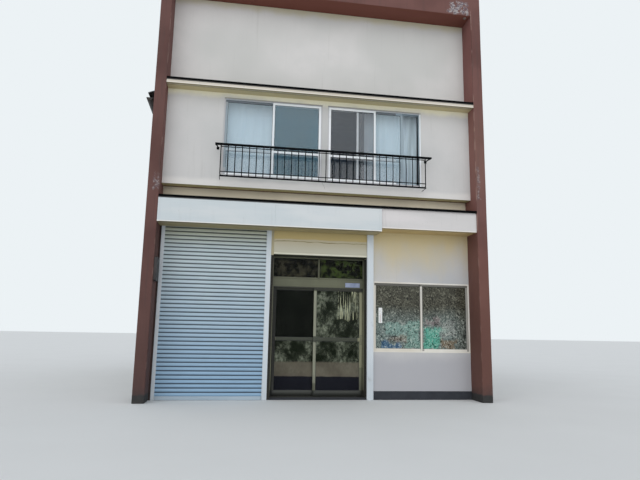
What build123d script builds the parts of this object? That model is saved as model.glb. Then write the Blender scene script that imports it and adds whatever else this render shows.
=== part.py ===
from build123d import *
import os

# Two-storey timber town house with a flat false front set between two side fins.
# Millimetres. x runs across the front, z up from the ground. The origin is on the
# ground in the middle of the whole footprint, so every y below is first given back
# from the front face of the fins and then shifted by the helper block().

# False front
BAY_WIDTH = 5280          # clear width between the two fins
FIN_WIDTH = 180           # thickness of each fin
FIN_DEPTH = 510           # front to back
BEAM_HEIGHT = 500         # head beam across both fins
PANEL_HEIGHT = 1666       # plain panel between the window hood and the beam
PANEL_SETBACK = 390       # panel behind the fin faces

# House body
BODY_BACK = 7900          # outer face of the rear wall
SIDE_WALL = 150           # side and rear wall thickness
SIDE_SETBACK = 30         # side wall face inside the fin's outer face
PLINTH_PROUD = 10         # foundation stands out from the side and rear walls
SLAB_TOP = 139            # ground floor slab and the foundation that shows round it
FLOOR_THICKNESS = 100

# Roof
EAVE_OVERHANG = 140       # side wall face to the eave edge
EAVE_ABOVE_FLOOR = 1644   # underside of the upper floor to the roof's top at the eave edge
REAR_OVERHANG = 400       # rear wall face to the rear verge
ROOF_SLOPE = 0.5          # rise over run
ROOF_THICKNESS = 120      # measured upright
RIDGE_WIDTH = 300
RIDGE_HEIGHT = 70
GUTTER_RADIUS = 55
GUTTER_WALL = 4
DOWNPIPE_RADIUS = 32
DOWNPIPE_FROM_BACK = 350  # rear wall face to the pipe's centre
DOWNPIPE_BOTTOM = 100
DOWNPIPE_DROP = 60        # straight piece under the gutter
DOWNPIPE_STANDOFF = 40    # foundation's edge to the pipe
DOWNPIPE_FALL = 2.5       # drop of the slanting piece for each unit across
CLIP_HEIGHT = 30
CLIP_DEPTH = 40
CLIP_SHARES = (0.15, 0.5, 0.85)

# Upper front
UPPER_WALL_FACE = 240     # behind the fin faces
UPPER_WALL = 150
UPPER_SILL_RISE = 194     # wall's lower edge to the window opening
UPPER_WINDOW_HEIGHT = 1360
UPPER_HEAD_MARGIN = 77    # window opening to the hood's underside
HOOD_HEIGHT = 65
FLASHING_HEIGHT = 42
UPPER_WINDOW_WIDTH = 1680
UPPER_WINDOW_GAP = 94     # pier between the two upper windows
UPPER_WINDOW_SHIFT = 20   # pair of windows off the house's centre line

# Ground front
GROUND_WALL_FACE = 420
GROUND_WALL = 150
LINTEL_FACE = 460
BAND_HEIGHT = 239         # lintel that shows between the canopy flashing and the upper wall
CANOPY_FACE = 30
CANOPY_HEIGHT = 335
SHUTTER_BOX_DROP = 60     # underside of the shutter box below the canopy's
SHUTTER_BOX_OVERRUN = 45  # shutter box beyond the right-hand post
SHEET = 20                # folded metal boxing
FASCIA_SETBACK = 4        # hood and shutter box behind the lip of their flashing
GROUND_SILL_RISE = 631    # slab to the window opening
GROUND_WINDOW_HEIGHT = 1177

# Posts and shutter
POST_FRONT = 385
POST_DEPTH = 50
LEFT_POST_WIDTH = 85
MIDDLE_POST_X = -908
MIDDLE_POST_WIDTH = 80
RIGHT_POST_WIDTH = 108
CURTAIN_DEPTH = 12
CURTAIN_BITE = 25         # how far the shutter curtain runs into each post
SHUTTER_BAR_HEIGHT = 60
SHUTTER_BAR_PROUD = 8
SLOT_CLEARANCE = 0.3

# Entrance
LEFT_CHEEK = 126          # wall between the middle post's outer edge and the door frame
ENTRANCE_WIDTH = 1594     # over the door frame
DOORWAY_HEIGHT = 1834     # ground to the underside of the frame's head
HEADER_HEIGHT = 144
TRANSOM_HEIGHT = 363
ENTRANCE_HEAD = 459       # plain panel over the transom
FRAME_FRONT = 600
FRAME_DEPTH = 95
FRAME_STILE = 25
TRANSOM_BAR = 22
LEAF_OVERLAP = 156        # the two closed leaves behind one another
LEAF_THICKNESS = 30
LEAF_STILE = 50
LEAF_RAIL = 57
LEAF_LIFT = 6             # leaf's lower edge above the running rails
LEAF_KICK = 90
LEAF_MID_RAIL = 933       # underside of the middle rail
RUNNING_CLEARANCE = 5     # round every moving leaf
ROLLER_CLEARANCE = 0.3
LIP = 4                   # guide fins of head and sill
LIP_DROP = 18
SILL_HEIGHT = 22
RAIL_HEIGHT = 8
RAIL_WIDTH = 4
ROLLER_RADIUS = 14
ROLLER_WIDTH = 10
ROLLER_INSET = 110
STEP_HEIGHT = 20
PULL_HEIGHT = 160
PULL_Z = 880

# Window sections
WINDOW_DEPTH = 90
WINDOW_FRAME = 24
SASH_THICKNESS = 26
SASH_STILE = 36
SASH_GAP = 4
GLASS = 5
REVEAL = 12               # upper window frame behind the wall face
SASH_MID_RISE = 440       # upper sill to the underside of the sashes' middle rail
SASH_MID_RAIL = 38
UPPER_WINDOW_OPEN = 300   # inner sash of the right-hand upper window slid aside

# Railing at the upper windows
RAILING_OVERRUN = 107     # handrail beyond the window openings at each side
RAILING_Y = 40
RAILING_RISE = 475        # window sill to the handrail's top
RAILING_DROP = 85         # window sill down to the bottom rail's underside
HANDRAIL_HEIGHT = 30
HANDRAIL_DEPTH = 40
RAIL_SPACING = 62         # handrail to the bar under it
RAILING_BAR = 12
RAILING_FLAT = 18         # front-to-back size of the thin rails and brackets
RAILING_PITCH = 115.4
RAILING_END = 96          # handrail's end to the first upright bar
LOW_RAIL_HEIGHT = 25      # bottom rail
LOW_RAIL_LIFT = 78        # bottom rail's underside to the thin rail above it

# Curtains
CURTAIN_ROD = 30
CLOTH_DEPTH = 60
CLOTH_GAP = 0.3
CLOTH_ABOVE_FLOOR = 30
LEFT_CURTAIN_WIDTH = 840
RIGHT_CURTAIN_WIDTH = 970
CURTAIN_EDGE = 20         # cloth's outer edge inside the window opening

# Small things
NUMBER_PLATE = (255, 4, 76)
NUMBER_PLATE_IN = 82      # its right edge inside the door frame's outer edge
NUMBER_PLATE_LIFT = 12    # above the header's underside
THERMOMETER = (64, 8, 257)
THERMOMETER_IN = 108      # from the left edge of the ground window
THERMOMETER_RISE = 480    # above the ground window's sill
FIN_BOX = (45, 240, 370)
FIN_BOX_BACK = 25         # its front edge behind the fin face
FIN_BOX_LOW = 1815
SOFFIT_LAMP_RADIUS = 30
SOFFIT_LAMP_HEIGHT = 25
SOFFIT_LAMP_IN = 80       # from the right fin and from the beam's face

# Heights of the front, from the ground up
HEADER_TOP = DOORWAY_HEIGHT + HEADER_HEIGHT
TRANSOM_TOP = HEADER_TOP + TRANSOM_HEIGHT
LINTEL_UNDERSIDE = TRANSOM_TOP + ENTRANCE_HEAD
SHUTTER_BOX_UNDERSIDE = LINTEL_UNDERSIDE - SHUTTER_BOX_DROP
CANOPY_TOP = LINTEL_UNDERSIDE + CANOPY_HEIGHT
FLOOR_UNDERSIDE = CANOPY_TOP + FLASHING_HEIGHT + BAND_HEIGHT
FLOOR_TOP = FLOOR_UNDERSIDE + FLOOR_THICKNESS
UPPER_SILL = FLOOR_UNDERSIDE + UPPER_SILL_RISE
UPPER_HEAD = UPPER_SILL + UPPER_WINDOW_HEIGHT
HOOD_UNDERSIDE = UPPER_HEAD + UPPER_HEAD_MARGIN
HOOD_TOP = HOOD_UNDERSIDE + HOOD_HEIGHT
FIN_HEIGHT = HOOD_TOP + FLASHING_HEIGHT + PANEL_HEIGHT
BEAM_TOP = FIN_HEIGHT + BEAM_HEIGHT
GROUND_SILL = SLAB_TOP + GROUND_SILL_RISE
GROUND_HEAD = GROUND_SILL + GROUND_WINDOW_HEIGHT
RAILING_TOP = UPPER_SILL + RAILING_RISE
RAILING_BOTTOM = UPPER_SILL - RAILING_DROP

# Across the house
HALF_BAY = BAY_WIDTH / 2
FIN_OUTER = HALF_BAY + FIN_WIDTH
SIDE_FACE = FIN_OUTER - SIDE_SETBACK
ROOF_REACH = SIDE_FACE + EAVE_OVERHANG
ROOF_EAVE_TOP = FLOOR_UNDERSIDE + EAVE_ABOVE_FLOOR
FRAME_LEFT = MIDDLE_POST_X + LEFT_CHEEK
FRAME_RIGHT = FRAME_LEFT + ENTRANCE_WIDTH
RIGHT_BAY_LEFT = FRAME_RIGHT + RIGHT_POST_WIDTH
CANOPY_LEFT = RIGHT_BAY_LEFT + SHUTTER_BOX_OVERRUN
LEAF_WIDTH = (ENTRANCE_WIDTH - 2 * (FRAME_STILE + RUNNING_CLEARANCE) + LEAF_OVERLAP) / 2

# Front to back, from the fin faces
UPPER_WALL_BACK = UPPER_WALL_FACE + UPPER_WALL
REAR_INNER = BODY_BACK - SIDE_WALL
ROOF_BACK = BODY_BACK + REAR_OVERHANG
FRONT = -ROOF_BACK / 2
FRAME_BACK = FRAME_FRONT + FRAME_DEPTH
OUTER_TRACK = FRAME_FRONT + LIP + RUNNING_CLEARANCE
INNER_TRACK = OUTER_TRACK + LEAF_THICKNESS + LIP + 2 * RUNNING_CLEARANCE
UPPER_WINDOW_Y = UPPER_WALL_FACE + REVEAL

# Door leaf, bottom and top
LEAF_BOTTOM = SILL_HEIGHT + RAIL_HEIGHT + LEAF_LIFT
LEAF_TOP = DOORWAY_HEIGHT - RUNNING_CLEARANCE


def block(x0, x1, y0, y1, z0, z1):
    """Upright box between two corners, y counted back from the fin faces."""
    size = (x1 - x0, y1 - y0, z1 - z0)
    centre = ((x0 + x1) / 2, FRONT + (y0 + y1) / 2, (z0 + z1) / 2)
    return Pos(*centre) * Box(*size)


def roof_top(x):
    """Height of the roof's upper face at a distance x from the ridge line."""
    return ROOF_EAVE_TOP + (ROOF_REACH - abs(x)) * ROOF_SLOPE


def along_y(points, y0, y1):
    """Solid with an x-z outline, from y0 back to y1."""
    plane = Plane(origin=(0, FRONT + y0, 0), x_dir=(1, 0, 0), z_dir=(0, -1, 0))
    return extrude(plane * make_face(Polyline(points, close=True)), y0 - y1)


def fin(side):
    inner, outer = sorted((side * HALF_BAY, side * FIN_OUTER))
    return block(inner, outer, 0, FIN_DEPTH, 0, FIN_HEIGHT)


def side_wall(side):
    """Plain party wall with its top cut to the slope of the roof."""
    outline = [
        (side * HALF_BAY, SLAB_TOP),
        (side * SIDE_FACE, SLAB_TOP),
        (side * SIDE_FACE, roof_top(SIDE_FACE) - ROOF_THICKNESS),
        (side * HALF_BAY, roof_top(HALF_BAY) - ROOF_THICKNESS),
    ]
    return along_y(outline, FIN_DEPTH, BODY_BACK)


def foundation():
    """Slab under the whole body, brought forward under the window wall and the shutter bay."""
    edge = SIDE_FACE + PLINTH_PROUD
    slab = block(-edge, edge, FRAME_BACK, BODY_BACK + PLINTH_PROUD, 0, SLAB_TOP)
    for side in (-1, 1):
        inner, outer = sorted((side * HALF_BAY, side * edge))
        slab += block(inner, outer, FIN_DEPTH, FRAME_BACK, 0, SLAB_TOP)
    slab += block(RIGHT_BAY_LEFT, HALF_BAY, GROUND_WALL_FACE, FRAME_BACK, 0, SLAB_TOP)
    slab += block(-HALF_BAY, MIDDLE_POST_X, LINTEL_FACE, FRAME_BACK, 0, SLAB_TOP)
    return slab


def rear_windows():
    """Left edge, right edge, sill and head of each rear window."""
    half = UPPER_WINDOW_GAP / 2
    upper_left = (-half - UPPER_WINDOW_WIDTH, -half, UPPER_SILL, UPPER_HEAD)
    upper_right = (half, half + UPPER_WINDOW_WIDTH, UPPER_SILL, UPPER_HEAD)
    ground_left = (upper_left[0], upper_left[1], GROUND_SILL, GROUND_HEAD)
    ground_right = (upper_right[0], upper_right[1], GROUND_SILL, GROUND_HEAD)
    return [upper_left, upper_right, ground_left, ground_right]


def rear_ground_wall():
    wall = block(-HALF_BAY, HALF_BAY, REAR_INNER, BODY_BACK, SLAB_TOP, FLOOR_UNDERSIDE)
    for x0, x1, z0, z1 in rear_windows()[2:]:
        wall -= block(x0, x1, REAR_INNER, BODY_BACK, z0, z1)
    return wall


def rear_gable_wall():
    """Upper rear wall that closes the end of the roof."""
    outline = [
        (-HALF_BAY, FLOOR_UNDERSIDE),
        (HALF_BAY, FLOOR_UNDERSIDE),
        (HALF_BAY, roof_top(HALF_BAY) - ROOF_THICKNESS),
        (0, roof_top(0) - ROOF_THICKNESS),
        (-HALF_BAY, roof_top(HALF_BAY) - ROOF_THICKNESS),
    ]
    wall = along_y(outline, REAR_INNER, BODY_BACK)
    for x0, x1, z0, z1 in rear_windows()[:2]:
        wall -= block(x0, x1, REAR_INNER, BODY_BACK, z0, z1)
    return wall


def roof_side(side):
    outline = [
        (0, roof_top(0)),
        (side * ROOF_REACH, ROOF_EAVE_TOP),
        (side * ROOF_REACH, ROOF_EAVE_TOP - ROOF_THICKNESS),
        (0, roof_top(0) - ROOF_THICKNESS),
    ]
    return along_y(outline, FIN_DEPTH, ROOF_BACK)


def ridge_cap():
    half = RIDGE_WIDTH / 2
    outline = [
        (-half, roof_top(half)),
        (0, roof_top(0)),
        (half, roof_top(half)),
        (half, roof_top(half) + RIDGE_HEIGHT),
        (0, roof_top(0) + RIDGE_HEIGHT),
        (-half, roof_top(half) + RIDGE_HEIGHT),
    ]
    return along_y(outline, FIN_DEPTH, ROOF_BACK)


def gutter(side):
    """Half-round channel hung on the eave edge."""
    x = side * (ROOF_REACH + GUTTER_RADIUS)
    z = ROOF_EAVE_TOP - ROOF_THICKNESS / 2
    y0, y1 = FIN_DEPTH + GUTTER_RADIUS, ROOF_BACK - GUTTER_RADIUS
    middle = Pos(x, FRONT + (y0 + y1) / 2, z) * Rot(90, 0, 0)
    tube = middle * (Cylinder(GUTTER_RADIUS, y1 - y0)
                     - Cylinder(GUTTER_RADIUS - GUTTER_WALL, y1 - y0))
    return tube - block(x - GUTTER_RADIUS, x + GUTTER_RADIUS, y0, y1, z, z + GUTTER_RADIUS)


def downpipe(side):
    """Pipe from the gutter's underside to near the ground, with clips to the wall."""
    y = BODY_BACK - DOWNPIPE_FROM_BACK
    x = side * (SIDE_FACE + PLINTH_PROUD + DOWNPIPE_STANDOFF + DOWNPIPE_RADIUS)
    gutter_x = side * (ROOF_REACH + GUTTER_RADIUS)
    top = ROOF_EAVE_TOP - ROOF_THICKNESS / 2 - GUTTER_RADIUS
    elbow = top - DOWNPIPE_DROP
    bend = elbow - DOWNPIPE_FALL * abs(gutter_x - x)
    corners = [(gutter_x, top), (gutter_x, elbow), (x, bend), (x, DOWNPIPE_BOTTOM)]
    route = Polyline([(px, FRONT + y, pz) for px, pz in corners])
    ring = Plane(origin=route @ 0, z_dir=(0, 0, -1)) * Circle(DOWNPIPE_RADIUS)
    pipe = sweep(ring, route, transition=Transition.ROUND)
    wall_side, pipe_side = sorted((side * SIDE_FACE, x))
    for share in CLIP_SHARES:
        z = DOWNPIPE_BOTTOM + share * (bend - DOWNPIPE_BOTTOM)
        pipe += block(wall_side, pipe_side, y - CLIP_DEPTH / 2, y + CLIP_DEPTH / 2,
                      z, z + CLIP_HEIGHT)
    return pipe


def upper_windows():
    """Left edge and right edge of the two upper front windows."""
    half = UPPER_WINDOW_GAP / 2
    left = (UPPER_WINDOW_SHIFT - half - UPPER_WINDOW_WIDTH, UPPER_WINDOW_SHIFT - half)
    right = (UPPER_WINDOW_SHIFT + half, UPPER_WINDOW_SHIFT + half + UPPER_WINDOW_WIDTH)
    return [left, right]


def upper_front_wall():
    wall = block(-HALF_BAY, HALF_BAY, UPPER_WALL_FACE, UPPER_WALL_BACK,
                 FLOOR_UNDERSIDE, HOOD_UNDERSIDE)
    for x0, x1 in upper_windows():
        wall -= block(x0, x1, UPPER_WALL_FACE, UPPER_WALL_BACK, UPPER_SILL, UPPER_HEAD)
    return wall


def window_frame(x0, x1, z0, z1, y):
    """Fixed aluminium frame, its front face at y."""
    ring = block(x0, x1, y, y + WINDOW_DEPTH, z0, z1)
    return ring - block(x0 + WINDOW_FRAME, x1 - WINDOW_FRAME, y, y + WINDOW_DEPTH,
                        z0 + WINDOW_FRAME, z1 - WINDOW_FRAME)


def sash_boxes(x0, x1, z0, z1, y, front_side, inward=0):
    """Corners of the two sashes; front_side picks the one in the outer track."""
    left, right = x0 + WINDOW_FRAME, x1 - WINDOW_FRAME
    middle = (left + right) / 2
    low, high = z0 + WINDOW_FRAME, z1 - WINDOW_FRAME
    outer_y = y + SASH_GAP
    inner_y = outer_y + SASH_THICKNESS + SASH_GAP
    half_stile = SASH_STILE / 2
    left_sash = [left, middle + half_stile, low, high]
    right_sash = [middle - half_stile, right, low, high]
    if front_side == "left":
        right_sash[0] -= inward
        right_sash[1] -= inward
        return [left_sash + [outer_y], right_sash + [inner_y]]
    return [right_sash + [outer_y], left_sash + [inner_y]]


def lights(box, mid_rail):
    """Corners of the glazed openings of a sash, over and under its middle rail if it has one."""
    x0, x1, z0, z1, y = box
    left, right = x0 + SASH_STILE, x1 - SASH_STILE
    low, high = z0 + SASH_STILE, z1 - SASH_STILE
    if mid_rail is None:
        return [(left, right, low, high)]
    return [(left, right, low, mid_rail), (left, right, mid_rail + SASH_MID_RAIL, high)]


def sashes(boxes, mid_rail=None):
    """Sash frames that stand one behind the other; mid_rail is the middle rail's underside."""
    frames = []
    for box in boxes:
        x0, x1, z0, z1, y = box
        frame = block(x0, x1, y, y + SASH_THICKNESS, z0, z1)
        for left, right, low, high in lights(box, mid_rail):
            frame -= block(left, right, y, y + SASH_THICKNESS, low, high)
        frames.append(frame)
    return Compound(frames)


def panes(boxes, mid_rail=None):
    """Glass in the middle of each sash."""
    sheets = []
    for box in boxes:
        front = box[4] + (SASH_THICKNESS - GLASS) / 2
        sheets += [block(left, right, front, front + GLASS, low, high)
                   for left, right, low, high in lights(box, mid_rail)]
    return Compound(sheets)


def ground_window_span():
    return RIGHT_BAY_LEFT, HALF_BAY, GROUND_SILL, GROUND_HEAD


def ground_front_wall():
    """Right-hand bay: the wall under the window and the wall over it."""
    x0, x1, z0, z1 = ground_window_span()
    back = GROUND_WALL_FACE + GROUND_WALL
    below = block(x0, x1, GROUND_WALL_FACE, back, SLAB_TOP, z0)
    above = block(x0, x1, GROUND_WALL_FACE, back, z1, LINTEL_UNDERSIDE)
    return Compound([below, above])


def entrance_step():
    return block(FRAME_LEFT, FRAME_RIGHT, GROUND_WALL_FACE, FRAME_FRONT, 0, STEP_HEIGHT)


def entrance_cheeks():
    """Short wall at each side of the recessed entrance."""
    y0 = POST_FRONT + POST_DEPTH
    left = block(MIDDLE_POST_X, FRAME_LEFT, y0, FRAME_BACK, 0, LINTEL_UNDERSIDE)
    right = block(FRAME_RIGHT, RIGHT_BAY_LEFT, y0, FRAME_BACK, 0, LINTEL_UNDERSIDE)
    return Compound([left, right])


def entrance_head():
    return block(FRAME_LEFT, FRAME_RIGHT, GROUND_WALL_FACE, FRAME_BACK, TRANSOM_TOP, LINTEL_UNDERSIDE)


def boxing(x0, x1, face, underside, back):
    """Folded sheet fascia and soffit under a flashing, open to the wall behind."""
    fascia = block(x0, x1, face, face + SHEET, underside, CANOPY_TOP)
    soffit = block(x0, x1, face, back, underside, underside + SHEET)
    return fascia + soffit


def shutter_slot():
    """Front and back of the groove that the shutter curtain runs in."""
    front = POST_FRONT + (POST_DEPTH - CURTAIN_DEPTH) / 2 - SLOT_CLEARANCE
    return front, front + CURTAIN_DEPTH + 2 * SLOT_CLEARANCE


def post(x, width, groove_side):
    """Square aluminium post; groove_side is +1 or -1 where the shutter enters it."""
    body = block(x, x + width, POST_FRONT, POST_FRONT + POST_DEPTH, 0, SHUTTER_BOX_UNDERSIDE)
    front, back = shutter_slot()
    bite = CURTAIN_BITE + RUNNING_CLEARANCE
    if groove_side > 0:
        body -= block(x + width - bite, x + width, front, back, 0, SHUTTER_BOX_UNDERSIDE)
    if groove_side < 0:
        body -= block(x, x + bite, front, back, 0, SHUTTER_BOX_UNDERSIDE)
    return body


def roller_shutter():
    """Closed curtain with its bottom bar, standing on the ground."""
    front, back = shutter_slot()
    x0 = -HALF_BAY + LEFT_POST_WIDTH - CURTAIN_BITE
    x1 = MIDDLE_POST_X + CURTAIN_BITE
    y0, y1 = front + SLOT_CLEARANCE, back - SLOT_CLEARANCE
    curtain = block(x0, x1, y0, y1, 0, LINTEL_UNDERSIDE)
    inset = CURTAIN_BITE + RUNNING_CLEARANCE
    bar = block(x0 + inset, x1 - inset, y0 - SHUTTER_BAR_PROUD, y1 + SHUTTER_BAR_PROUD,
                0, SHUTTER_BAR_HEIGHT)
    return curtain + bar


def door_jambs():
    left = block(FRAME_LEFT, FRAME_LEFT + FRAME_STILE, FRAME_FRONT, FRAME_BACK, SILL_HEIGHT,
                 DOORWAY_HEIGHT)
    right = block(FRAME_RIGHT - FRAME_STILE, FRAME_RIGHT, FRAME_FRONT, FRAME_BACK, SILL_HEIGHT,
                  DOORWAY_HEIGHT)
    return Compound([left, right])


def guide_lips():
    """Front edge of the three guide fins on each side of the two tracks."""
    middle = OUTER_TRACK + LEAF_THICKNESS + RUNNING_CLEARANCE
    last = INNER_TRACK + LEAF_THICKNESS + RUNNING_CLEARANCE
    return [FRAME_FRONT, middle, last]


def door_header():
    """Head of the door frame with three fins that guide the leaves' tops."""
    head = block(FRAME_LEFT, FRAME_RIGHT, FRAME_FRONT, FRAME_BACK, DOORWAY_HEIGHT, HEADER_TOP)
    for y in guide_lips():
        head += block(FRAME_LEFT + FRAME_STILE, FRAME_RIGHT - FRAME_STILE, y, y + LIP,
                      DOORWAY_HEIGHT - LIP_DROP, DOORWAY_HEIGHT)
    return head


def door_sill():
    """Sill with one narrow running rail under each leaf."""
    sill = block(FRAME_LEFT, FRAME_RIGHT, FRAME_FRONT, FRAME_BACK, 0, SILL_HEIGHT)
    for track in (OUTER_TRACK, INNER_TRACK):
        y = track + (LEAF_THICKNESS - RAIL_WIDTH) / 2
        sill += block(FRAME_LEFT + FRAME_STILE, FRAME_RIGHT - FRAME_STILE, y, y + RAIL_WIDTH,
                      SILL_HEIGHT, SILL_HEIGHT + RAIL_HEIGHT)
    return sill


def transom_panes():
    """Left edge, right edge of the two lights over the door."""
    middle = (FRAME_LEFT + FRAME_RIGHT) / 2
    return [(FRAME_LEFT + TRANSOM_BAR, middle - TRANSOM_BAR / 2),
            (middle + TRANSOM_BAR / 2, FRAME_RIGHT - TRANSOM_BAR)]


def transom_frame():
    frame = block(FRAME_LEFT, FRAME_RIGHT, FRAME_FRONT, FRAME_BACK, HEADER_TOP, TRANSOM_TOP)
    for x0, x1 in transom_panes():
        frame -= block(x0, x1, FRAME_FRONT, FRAME_BACK, HEADER_TOP + TRANSOM_BAR,
                       TRANSOM_TOP - TRANSOM_BAR)
    return frame


def transom_glass():
    y = FRAME_FRONT + FRAME_DEPTH / 2
    return Compound([block(x0, x1, y, y + GLASS, HEADER_TOP + TRANSOM_BAR, TRANSOM_TOP - TRANSOM_BAR)
                     for x0, x1 in transom_panes()])


def leaf_edges(side):
    """Left edge, right edge and track of a closed leaf."""
    if side < 0:
        x0 = FRAME_LEFT + FRAME_STILE + RUNNING_CLEARANCE
        return x0, x0 + LEAF_WIDTH, INNER_TRACK
    x1 = FRAME_RIGHT - FRAME_STILE - RUNNING_CLEARANCE
    return x1 - LEAF_WIDTH, x1, OUTER_TRACK


def leaf_lights(side):
    """Corners of the upper and lower pane of a leaf."""
    x0, x1, _ = leaf_edges(side)
    left, right = x0 + LEAF_STILE, x1 - LEAF_STILE
    lower = (left, right, LEAF_BOTTOM + LEAF_KICK, LEAF_MID_RAIL)
    upper = (left, right, LEAF_MID_RAIL + LEAF_RAIL, LEAF_TOP - LEAF_STILE)
    return [lower, upper]


def door_leaf(side):
    """Leaf frame with middle rail, kick rail, two rollers and a recessed pull."""
    x0, x1, y = leaf_edges(side)
    leaf = block(x0, x1, y, y + LEAF_THICKNESS, LEAF_BOTTOM, LEAF_TOP)
    for left, right, low, high in leaf_lights(side):
        leaf -= block(left, right, y, y + LEAF_THICKNESS, low, high)
    roller_z = SILL_HEIGHT + RAIL_HEIGHT + ROLLER_CLEARANCE + ROLLER_RADIUS
    for x in (x0 + ROLLER_INSET, x1 - ROLLER_INSET):
        place = Pos(x, FRONT + y + LEAF_THICKNESS / 2, roller_z) * Rot(90, 0, 0)
        leaf += place * Cylinder(ROLLER_RADIUS, ROLLER_WIDTH)
    pull_x = x0 + LEAF_STILE / 2 if side < 0 else x1 - LEAF_STILE / 2
    width = LEAF_STILE / 2
    leaf -= block(pull_x - width / 2, pull_x + width / 2, y, y + LEAF_THICKNESS / 3,
                  PULL_Z, PULL_Z + PULL_HEIGHT)
    return leaf


def door_glass(side):
    _, _, y = leaf_edges(side)
    middle = y + LEAF_THICKNESS / 2
    return Compound([block(x0, x1, middle - GLASS / 2, middle + GLASS / 2, z0, z1)
                     for x0, x1, z0, z1 in leaf_lights(side)])


def railing_span():
    """Left and right end of the handrail."""
    left, right = upper_windows()
    return left[0] - RAILING_OVERRUN, right[1] + RAILING_OVERRUN


def railing_bars():
    """Middle of each upright bar."""
    left, right = railing_span()
    count = int((right - left - 2 * RAILING_END) / RAILING_PITCH) + 1
    return [left + RAILING_END + index * RAILING_PITCH for index in range(count)]


def railing():
    """Flat wrought-iron guard across both upper windows."""
    half_flat = RAILING_FLAT / 2
    half_bar = RAILING_BAR / 2
    left, right = railing_span()
    bars = railing_bars()
    guard = block(left, right, RAILING_Y - HANDRAIL_DEPTH / 2, RAILING_Y + HANDRAIL_DEPTH / 2,
                  RAILING_TOP - HANDRAIL_HEIGHT, RAILING_TOP)
    rails = [(RAILING_TOP - RAIL_SPACING, RAILING_BAR), (RAILING_BOTTOM + LOW_RAIL_LIFT, RAILING_BAR),
             (RAILING_BOTTOM, LOW_RAIL_HEIGHT)]
    for z, height in rails:
        guard += block(bars[0] - RAILING_BAR, bars[-1] + RAILING_BAR, RAILING_Y - half_flat,
                       RAILING_Y + half_flat, z, z + height)
    for x in bars:
        guard += block(x - half_bar, x + half_bar, RAILING_Y - half_bar, RAILING_Y + half_bar,
                       RAILING_BOTTOM + half_bar, RAILING_TOP - HANDRAIL_HEIGHT / 2)
    return guard


def railing_brackets():
    """Four arms that carry the guard from the wall, at both ends of its top and bottom rail."""
    left, right = railing_span()
    bars = railing_bars()
    handrail_back = RAILING_Y + HANDRAIL_DEPTH / 2
    rail_back = RAILING_Y + RAILING_FLAT / 2
    arms = [
        (left, handrail_back, RAILING_TOP - HANDRAIL_HEIGHT),
        (right - RAILING_BAR, handrail_back, RAILING_TOP - HANDRAIL_HEIGHT),
        (bars[0] - RAILING_BAR, rail_back, RAILING_BOTTOM),
        (bars[-1], rail_back, RAILING_BOTTOM),
    ]
    return Compound([block(x, x + RAILING_BAR, y, UPPER_WALL_FACE, z, z + RAILING_BAR)
                     for x, y, z in arms])


def curtain_rods():
    """One square rod over each upper window, on the inner face of the wall."""
    rods = [block(x0, x1, UPPER_WALL_BACK, UPPER_WALL_BACK + CLOTH_DEPTH, UPPER_HEAD,
                  UPPER_HEAD + CURTAIN_ROD)
            for x0, x1 in upper_windows()]
    return Compound(rods)


def curtain(x0, x1):
    """Soft block that the hanging cloth fills."""
    return block(x0, x1, UPPER_WALL_BACK + CLOTH_GAP, UPPER_WALL_BACK + CLOTH_DEPTH,
                 FLOOR_TOP + CLOTH_ABOVE_FLOOR, UPPER_HEAD - CLOTH_GAP)


def front_windows():
    """The two upper windows and the ground window: span, depth, front sash and slid distance."""
    left, right = upper_windows()
    ground = ground_window_span()
    return [
        ((*left, UPPER_SILL, UPPER_HEAD), UPPER_WINDOW_Y, "right", 0),
        ((*right, UPPER_SILL, UPPER_HEAD), UPPER_WINDOW_Y, "left", UPPER_WINDOW_OPEN),
        (ground, GROUND_WALL_FACE, "right", 0),
    ]


def front_wall_pieces():
    return {
        "left_fin": fin(-1),
        "right_fin": fin(1),
        "head_beam": block(-FIN_OUTER, FIN_OUTER, 0, FIN_DEPTH, FIN_HEIGHT, BEAM_TOP),
        "top_panel": block(-HALF_BAY, HALF_BAY, PANEL_SETBACK, FIN_DEPTH, HOOD_UNDERSIDE, FIN_HEIGHT),
        "window_hood": block(-HALF_BAY, HALF_BAY, FASCIA_SETBACK, PANEL_SETBACK, HOOD_UNDERSIDE,
                             HOOD_TOP),
        "hood_flashing": block(-HALF_BAY, HALF_BAY, 0, PANEL_SETBACK, HOOD_TOP,
                               HOOD_TOP + FLASHING_HEIGHT),
        "upper_front_wall": upper_front_wall(),
        "front_lintel": block(-HALF_BAY, HALF_BAY, LINTEL_FACE, LINTEL_FACE + GROUND_WALL,
                              LINTEL_UNDERSIDE, FLOOR_UNDERSIDE),
        "ground_front_wall": ground_front_wall(),
        "canopy_flashing": block(-HALF_BAY, HALF_BAY, 0, LINTEL_FACE, CANOPY_TOP,
                                 CANOPY_TOP + FLASHING_HEIGHT),
        "canopy": boxing(CANOPY_LEFT, HALF_BAY, CANOPY_FACE, LINTEL_UNDERSIDE, LINTEL_FACE),
        "shutter_box": boxing(-HALF_BAY, CANOPY_LEFT, FASCIA_SETBACK, SHUTTER_BOX_UNDERSIDE,
                              POST_FRONT),
    }


def shutter_pieces():
    return {
        "roller_shutter": roller_shutter(),
        "left_post": post(-HALF_BAY, LEFT_POST_WIDTH, 1),
        "middle_post": post(MIDDLE_POST_X, MIDDLE_POST_WIDTH, -1),
        "right_post": post(FRAME_RIGHT, RIGHT_POST_WIDTH, 0),
    }


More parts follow.
